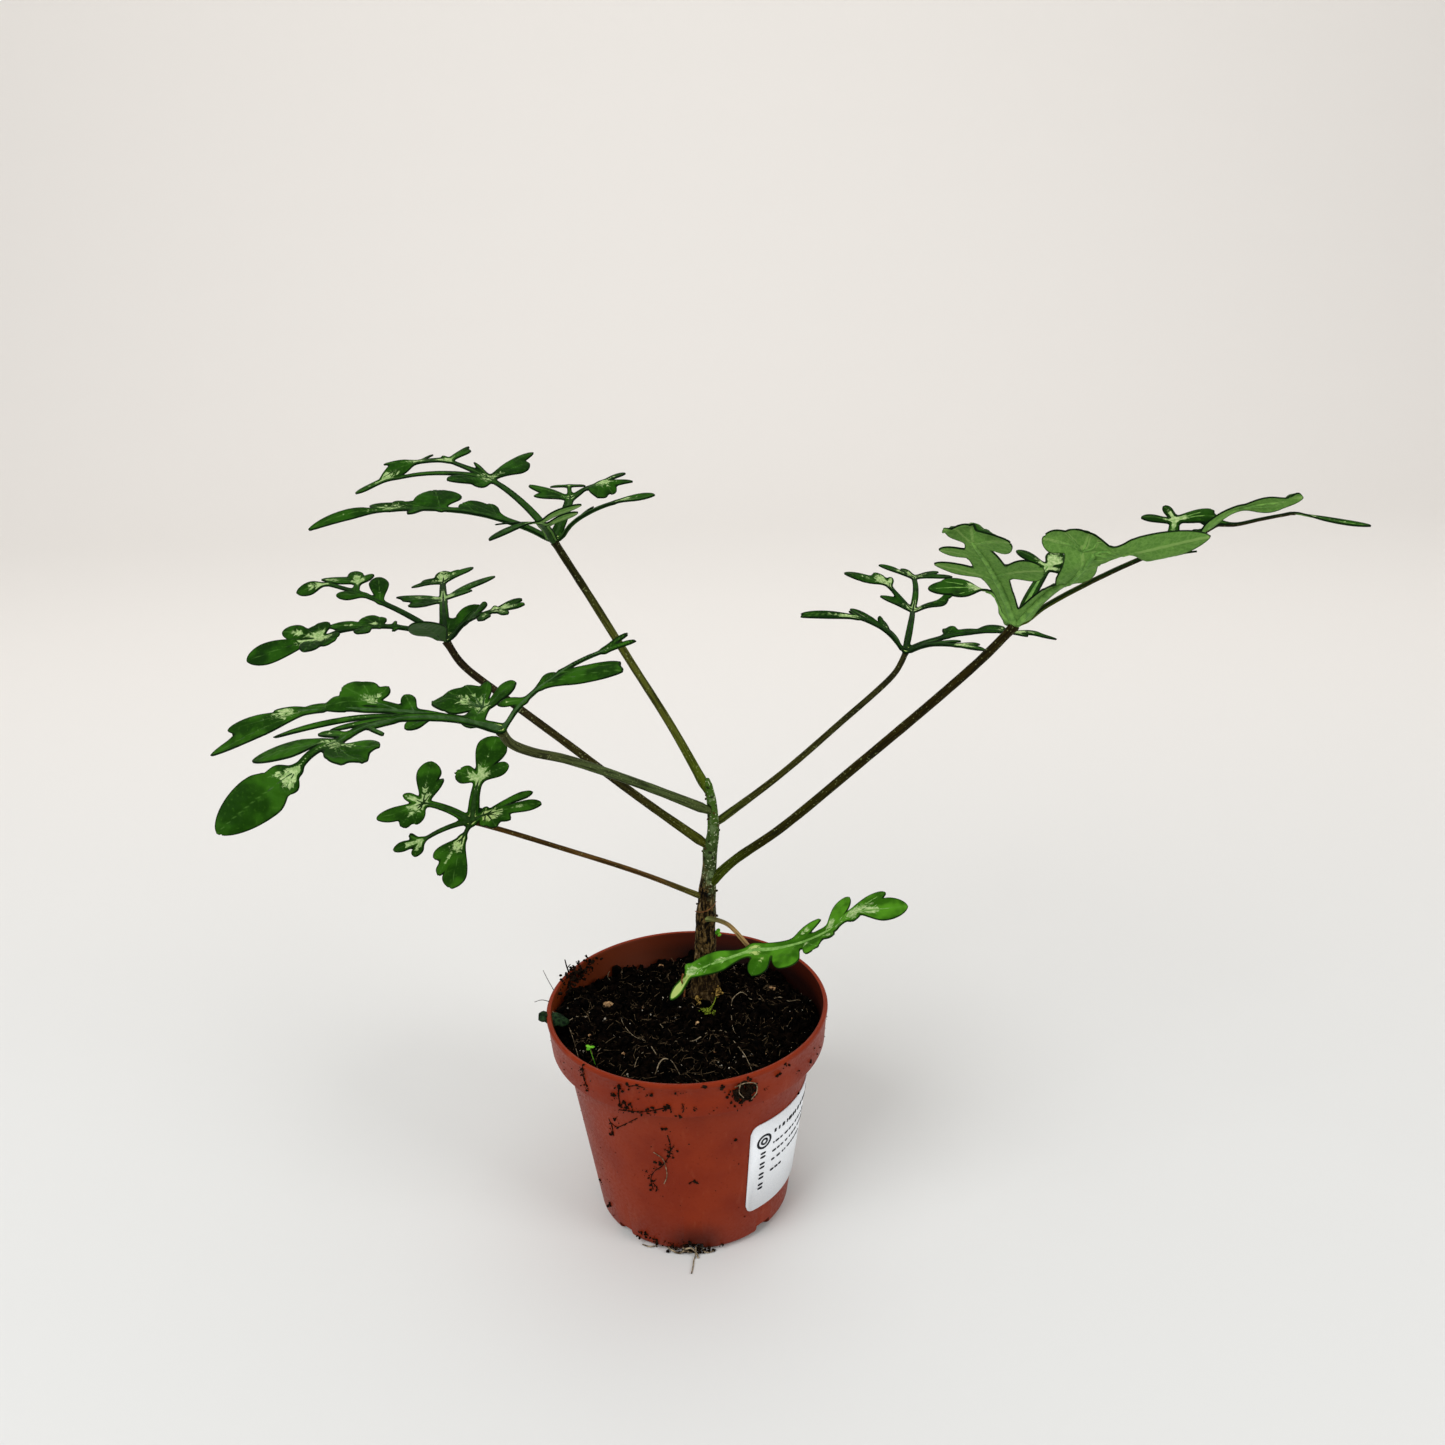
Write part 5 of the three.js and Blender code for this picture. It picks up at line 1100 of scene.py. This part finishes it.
# Living leaf, upper side: a satin waxy skin, deep green with silvery feathered patches at the forks
def upper_side():
    made, tree, shader = finish_called("leaf, waxy upper side", Roughness=0.55, Specular_IOR_Level=0.03)
    names = ("tone_and_shade", "pale", "edge", "midrib", "cream")
    tone_and_shade, pale, edge, midrib, cream = (layer(tree, name) for name in names)
    spot = object_spot(tree)
    feather = pattern(tree, layer(tree, "grain", "Vector"), 1 / 1.1, 4, 0.65)
    speckle = pattern(tree, spot, 1000 / 0.8, 2)
    # The base green follows tone_and_shade: partly the leaf's own tone, partly painted shade on the leaves that
    # catch less light
    colour = coats(
        tree, mixed(tree, tone_and_shade, "#072302", "#2c5c08"),
        (mixed(tree, tone_and_shade, "#153d05", "#4e8a1c"), pattern(tree, spot, 1000 / 6, 2), 0.38, 0.64),
        ("#3e6a1c", speckle, 0.54, 0.8, 0.35), ("#5a863a", midrib, 0.3, 0.08, 0.3),
    )
    # The patch fades out in a feathered edge, and keeps clear of the margin
    patch = worked_out(tree, "ADD", pale, worked_out(tree, "MULTIPLY_ADD", feather, 1.25, -0.6))
    inside = node(tree, "MapRange", {0: edge, 1: 0.3, 2: 0.9}, **EASED)
    patch = worked_out(tree, "MULTIPLY", patch, inside)
    silver = coats(tree, "#7c9c5c", ("#a6bd82", speckle, 0.36, 0.64))
    silver = mixed(tree, cream, silver, "#a3b866")
    colour = coats(tree, colour, (silver, patch, 0.46, 0.6), ("#020d03", edge, 0.42, 0.08, 0.85))
    return finished(made, tree, shader, colour, worked_out(tree, "ADD", feather, speckle), 0.05)


# Living leaf, underside: matt and paler, its net of veins lighter, the margin a fine dark line
def under_side():
    made, tree, shader = finish_called("leaf, matt underside", Roughness=0.6, Specular_IOR_Level=0.05)
    tone_and_shade, edge, midrib, deep = (layer(tree, name) for name in ("tone_and_shade", "edge", "midrib", "deep"))
    spot = object_spot(tree)
    net = node(tree, "TexVoronoi", {"Vector": spot, "Scale": 1000 / 1.3}, feature="DISTANCE_TO_EDGE")
    veins = worked_out(tree, "PINGPONG", part_of(tree, layer(tree, "grain", "Vector"), 0), VEIN_SPACING / 2)
    # tone_and_shade deepens the underside too: partly the leaf's own tone, partly painted shade
    colour = coats(
        tree, "#5b8638", ("#709c45", pattern(tree, spot, 1000 / 0.9, 3), 0.35, 0.68),
        ("#4f7830", pattern(tree, spot, 1000 / 8, 2), 0.42, 0.66, 0.5), ("#7da654", net, 0.12, 0.02, 0.3),
        ("#7da654", veins, 0.2, 0.03, 0.35), ("#8fb060", midrib, 0.5, 0.2, 0.75),
        # 14380a on the "deep" lobe is painted shade on its underside
        ("#3a6428", tone_and_shade, 0.5, 0.0, 0.3), ("#14380a", deep, 0.2, 0.8, 0.85),
        ("#16300e", edge, 0.36, 0.08, 0.85),
    )
    return finished(made, tree, shader, colour, net, 0.04)


# Leaf stalks: satin skin with fine lengthwise ridges and pale pores, darker towards the palm
def stalk_skin(name, length, foot, middle, head):
    made, tree, shader = finish_called(name, Roughness=0.48, Specular_IOR_Level=0.03)
    wrap = layer(tree, "wrap", "Vector")
    run = part_of(tree, wrap, 2)
    ridges = pattern(tree, stretched(tree, wrap, (1, 1, 0.05)), 1 / 0.45, 2)
    colour = coats(
        tree, foot, (middle, run, 0, length * 0.35), (head, run, length * 0.55, length * 0.98),
        ("#0a0a03", ridges, 0.44, 0.6, 0.65), ("#14170a", pattern(tree, wrap, 1 / 9, 2), 0.5, 0.75, 0.35),
        ("#8b9460", pattern(tree, wrap, 1 / 0.7, 1), 0.66, 0.72, 0.4),
    )
    return finished(made, tree, shader, colour, ridges, 0.12)


# The stem: green skin with raised pale pores above, grey-brown cork split into dark fissures below
def stem_bark():
    name = "stem, green skin and fissured cork"
    made, tree, shader = finish_called(name, Roughness=0.75, Specular_IOR_Level=0.06)
    wrap, spot = layer(tree, "wrap", "Vector"), object_spot(tree)
    height, drift = part_of(tree, spot, 2), pattern(tree, wrap, 1 / 3, 4, 0.65)
    # The cork ends raggedly between 95 and 120 mm up, and reaches higher on the stem's left side
    level = worked_out(tree, "ADD", height, worked_out(tree, "MULTIPLY_ADD", drift, 30 * MM, -15 * MM))
    leaning = worked_out(tree, "MULTIPLY_ADD", part_of(tree, spot, 0), 3.0, -27 * MM)
    level = worked_out(tree, "ADD", level, leaning)
    pores = pattern(tree, wrap, 1 / 0.75, 1)
    spread = {"Vector": wrap, "Scale": 1 / 1.6, "Detail": 2, "W": 3}
    scars = node(tree, "TexNoise", spread, noise_dimensions="4D")
    skin = coats(tree, "#374722", ("#3f5f1c", height, 120 * MM, 143 * MM))
    skin = coats(
        tree, "#3b3716", (skin, height, 100 * MM, 122 * MM), ("#72875a", drift, 0.48, 0.64, 0.7),
        ("#bcc49e", pores, 0.63, 0.68, 0.85), ("#171706", scars, 0.56, 0.66, 0.85),
    )
    fissure = pattern(tree, stretched(tree, wrap, (1, 1, 0.28)), 1 / 0.85, 5, 0.68)
    colour = coats(
        tree, "#33260f", ("#6b552e", pattern(tree, wrap, 1 / 2.2, 3), 0.4, 0.62),
        ("#97825c", fissure, 0.57, 0.68, 0.85), ("#060301", fissure, 0.54, 0.44),
        ("#2a1d10", height, 86 * MM, 70 * MM, 0.6), (skin, level, 104 * MM, 121 * MM),
    )
    return finished(made, tree, shader, colour, worked_out(tree, "ADD", fissure, pores), 0.7)


# Terracotta-coloured polypropylene, injection moulded: satin, faintly mottled and scuffed, with painted shade
# inside and a painted highlight along the top of the rim
def moulded_pot():
    name = "polypropylene, moulded terracotta colour"
    made, tree, shader = finish_called(name, Roughness=0.4, Specular_IOR_Level=0.1)
    spot = object_spot(tree)
    height, across = part_of(tree, spot, 2), part_of(tree, spot, 0)
    mottle, dust = pattern(tree, spot, 1000 / 14, 3), pattern(tree, spot, 1000 / 0.9, 4, 0.6)
    scuffs = pattern(tree, stretched(tree, spot, (1, 1, 0.3)), 1000 / 2.4, 3)
    # The wall is darker within 13 mm of the drain hole at the front
    off = node(tree, "VectorMath", {0: spot, 1: (0.5 * MM, -33 * MM, 3 * MM)}, operation="SUBTRACT")
    far = node(tree, "VectorMath", {0: off}, "Value", operation="LENGTH")
    # Painted shade: the inside of the wall, which faces the axis, is painted darker, darkest low down and at
    # the right, paler towards the rim and on the left
    facing, outwards = node(tree, "NewGeometry", {}, "Normal"), stretched(tree, spot, (1, 1, 0))
    inner_shade_facing = node(tree, "VectorMath", {0: facing, 1: outwards}, "Value", operation="DOT_PRODUCT")
    inside = coats(
        tree, "#080201", ("#340d03", height, 67 * MM, 72.5 * MM), ("#6b2a08", across, 6 * MM, -34 * MM, 0.75)
    )
    # Painted highlight: the top of the rim, from 73.4 mm up, is painted lighter
    colour = coats(
        tree, "#772309", ("#812a0d", mottle, 0.35, 0.68), ("#36180e", dust, 0.64, 0.74, 0.6),
        ("#9c5236", scuffs, 0.6, 0.8, 0.2), ("#8a3216", height, 73.4 * MM, 75 * MM, 0.7),
        ("#2a0c06", far, 13 * MM, 2 * MM, 0.8), (inside, inner_shade_facing, -8 * MM, -26 * MM, 0.97),
    )
    dulled = node(tree, "MapRange", {0: dust, 1: 0.3, 2: 0.75, 3: 0.32, 4: 0.6})
    tree.links.new(dulled, shader.inputs["Roughness"])
    return finished(made, tree, shader, colour, worked_out(tree, "MULTIPLY_ADD", dust, 0.3, mottle), 0.12)


def coarse_finish(name, size, dark, light, depth, roughness=0.9, high=0.65, gloss=0.05):
    """A natural finish: two colours in grains of size millimetres, with their relief."""
    made, tree, shader = finish_called(name, Roughness=roughness, Specular_IOR_Level=gloss)
    grains = pattern(tree, object_spot(tree), 1000 / size, 4, 0.65)
    return finished(made, tree, shader, coats(tree, dark, (light, grains, 0.38, high)), grains, depth)


# Damp peat: nearly black, brown where it dries, with pale specks of grit
def peat():
    made, tree, shader = finish_called("peat, damp and crumbly", Roughness=1.0, Specular_IOR_Level=0.02)
    spot = object_spot(tree)
    clods = pattern(tree, spot, 1000 / 3.4, 5, 0.7)
    specks = pattern(tree, spot, 1000 / 0.9, 2)
    colour = coats(tree, "#010101", ("#100b06", clods, 0.46, 0.74), ("#6e5c42", specks, 0.69, 0.74, 0.8))
    return finished(made, tree, shader, colour, clods, 1.6)


# Painted board in one sweep: the floor in front a shade deeper than what lies behind, painted light that evens
# out the lamps' fall-off towards the back
def painted_board():
    made, tree, shader = finish_called("painted board, off-white", Roughness=0.8, Specular_IOR_Level=0.1)
    spot = object_spot(tree)
    colour = coats(tree, "#d9dad9", ("#f4f1ed", part_of(tree, spot, 1), -0.1, 0.7))
    return finished(made, tree, shader, colour, pattern(tree, spot, 1000 / 6, 4), 0.02)


UPPER_SIDE, UNDER_SIDE = upper_side(), under_side()
STEM_BARK, MOULDED_POT, PEAT = stem_bark(), moulded_pot(), peat()
# Stalks: the long ones change colour over 85 mm, the short ones over 60
PETIOLE_SKINS = {
    number: stalk_skin("stalk skin " + number, 60 + 25 * (number in "1235"), *colours)
    for number, (_, _, _, colours) in PETIOLES.items()
}
# Ribs: smooth cords, painted dark and cool as shade on the leaves seen from above, fresh green on the two that
# are not
RIB_COLOURS = {
    "1": ("#1b3610", "#294818"), "2": ("#0f250b", "#1b3612"), "3": ("#294420", "#3b5a30"),
    "4": ("#18300c", "#264518"), "5": ("#56813a", "#76a44c"), "6": ("#0f240c", "#1b3612"),
    "7": ("#5f8c3c", "#84ad5c"),
}
RIB_SKINS = {
    number: coarse_finish("rib skin " + number, 2, *pair, 0.02, 0.55) for number, pair in RIB_COLOURS.items()
}
# The label: flat white paper, its generic print flat and nearly black
LABEL_PAPER = coarse_finish("paper, matt white label stock", 0.5, "#e6eaef", "#eff2f5", 0.01, 0.6)
LABEL_INK = coarse_finish("printing ink, black on paper", 0.4, "#17181c", "#2b2d33", 0.005, 0.5)
# Loose soil: dull, nearly black where damp, browner where it dried, with pale grit and straw-brown threads
PEAT_CRUMBS = coarse_finish("peat crumbs, damp", 1.6, "#010101", "#1a110a", 0.2, 1.0, 0.85, 0.02)
DRIED_SOIL = coarse_finish("soil dried onto the pot", 1.2, "#0c0704", "#26190f", 0.15, 0.95, 0.7)
GRIT = coarse_finish("grit and perlite dust, pale", 2.0, "#5c4f3f", "#c2b8a6", 0.05, 0.8)
FIBRE = coarse_finish("peat fibre, brown and stringy", 2.5, "#150f09", "#6b5941", 0.03, 0.85)
ROOT_SKIN = coarse_finish("root hairs, dry and whitish", 2.0, "#4a3e2d", "#a39378", 0.04, 0.8)
# Small plant matter: tan chips, crumbly cork, bright moss and seedling, limp dark and dry brown scraps
BARK_CHIP = coarse_finish("bark chip, tan", 0.8, "#6a452a", "#c4a276", 0.1, 0.8)
CORK = coarse_finish("young cork, yellow-tan and crumbly", 0.9, "#57431a", "#a98a48", 0.2, 0.9)
MOSS = coarse_finish("moss, bright yellow-green", 0.7, "#3c4d0e", "#8c9c30", 0.15, 0.9)
SPROUT = coarse_finish("seedling leaf, fresh green", 1.0, "#3f8518", "#74b82f", 0.03, 0.5)
DEAD_LEAF = coarse_finish("dead leaf, dark and limp", 1.4, "#08140a", "#22391f", 0.15, 0.75)
NUB = coarse_finish("withered stipules, dark brown", 0.6, "#1a150a", "#54441f", 0.1, 0.8)
HUSK = coarse_finish("dry husk, brown thread", 1.2, "#5a3015", "#a07048", 0.05, 0.7)

# Blades: leaf, tone from deep to fresh green (partly the leaf's own, partly painted shade on the leaves that
# catch less light), paleness at the forks and along the lobes (least, most)
TONES = {
    "1": (0.1, (0.55, 0.95), (0, 0.45)), "2": (0.1, (0.6, 1), (0, 0.7)), "3": (0.2, (0.5, 0.9), (0, 0.6)),
    "4": (0.22, (0.75, 1), (0.15, 0.75)), "5": (0.1, (0.6, 1), (0, 0.65)), "6": (0.04, (0.7, 1), (0, 0.65)),
    "7": (0.85, (0.5, 0.8), (0.5, 0.85)),
}
for leaf in LEAVES:
    blade(leaf, *TONES[leaf[0]])
for number in PETIOLES:
    petiole(number)
for build in (stem, pot, label, soil, scatter, root_hairs, soil_on_pot, bits):
    build()

# Floor and backdrop in one pale sweep: its curve as (back, up) in metres
bend = [(0.9 + 0.5 * math.sin(a), 0.5 - 0.5 * math.cos(a)) for a in np.linspace(0.15, math.pi / 2, 10)]
sweep = bmesh.new()
run = [sweep.verts.new((-2.2, *point)) for point in [(-1.6, 0), (0.9, 0), *bend, (1.4, 2.4)]]
other_side, _ = extruded(sweep, [sweep.edges.new(pair) for pair in zip(run, run[1:])])
bmesh.ops.translate(sweep, vec=(4.4, 0, 0), verts=list(other_side))
bmesh.ops.recalc_face_normals(sweep, faces=sweep.faces)
meshed("studio_sweep", sweep, [painted_board()])

# Camera at the photograph's place, and soft lights, in metres and degrees
EYE, PITCH, ROLL, AIM = (0.01404, -0.3978, 0.32985), 21.91, -1.73, (0, 0, 0.12)
lens = bpy.data.cameras.new("view")
lens.sensor_width, lens.lens, lens.clip_start = 36, 36.1, 0.01
turned = Matrix.Rotation(math.radians(90 - PITCH), 4, "X") @ Matrix.Rotation(math.radians(ROLL), 4, "Z")
bpy.context.scene.camera = placed("view", lens, Matrix.Translation(EYE) @ turned)
for name, place, size, power in (("window", (-0.75, -0.75, 1.15), 0.9, 14), ("fill", (1.1, -0.7, 0.7), 0.6, 7),
                                 ("overhead", (0.1, 0.3, 1.5), 1.4, 5)):
    lamp = bpy.data.lights.new(name, "AREA")
    lamp.energy, lamp.size = power, size
    aimed = (Vector(AIM) - Vector(place)).to_track_quat("-Z", "Y").to_matrix().to_4x4()
    placed(name, lamp, Matrix.Translation(place) @ aimed)
sky = bpy.data.worlds.new("studio")
sky.use_nodes = True
background = sky.node_tree.nodes["Background"]
background.inputs["Color"].default_value, background.inputs["Strength"].default_value = linear("#f2efec"), 0.49
bpy.context.scene.world = sky
bpy.context.scene.view_settings.view_transform = "Standard"
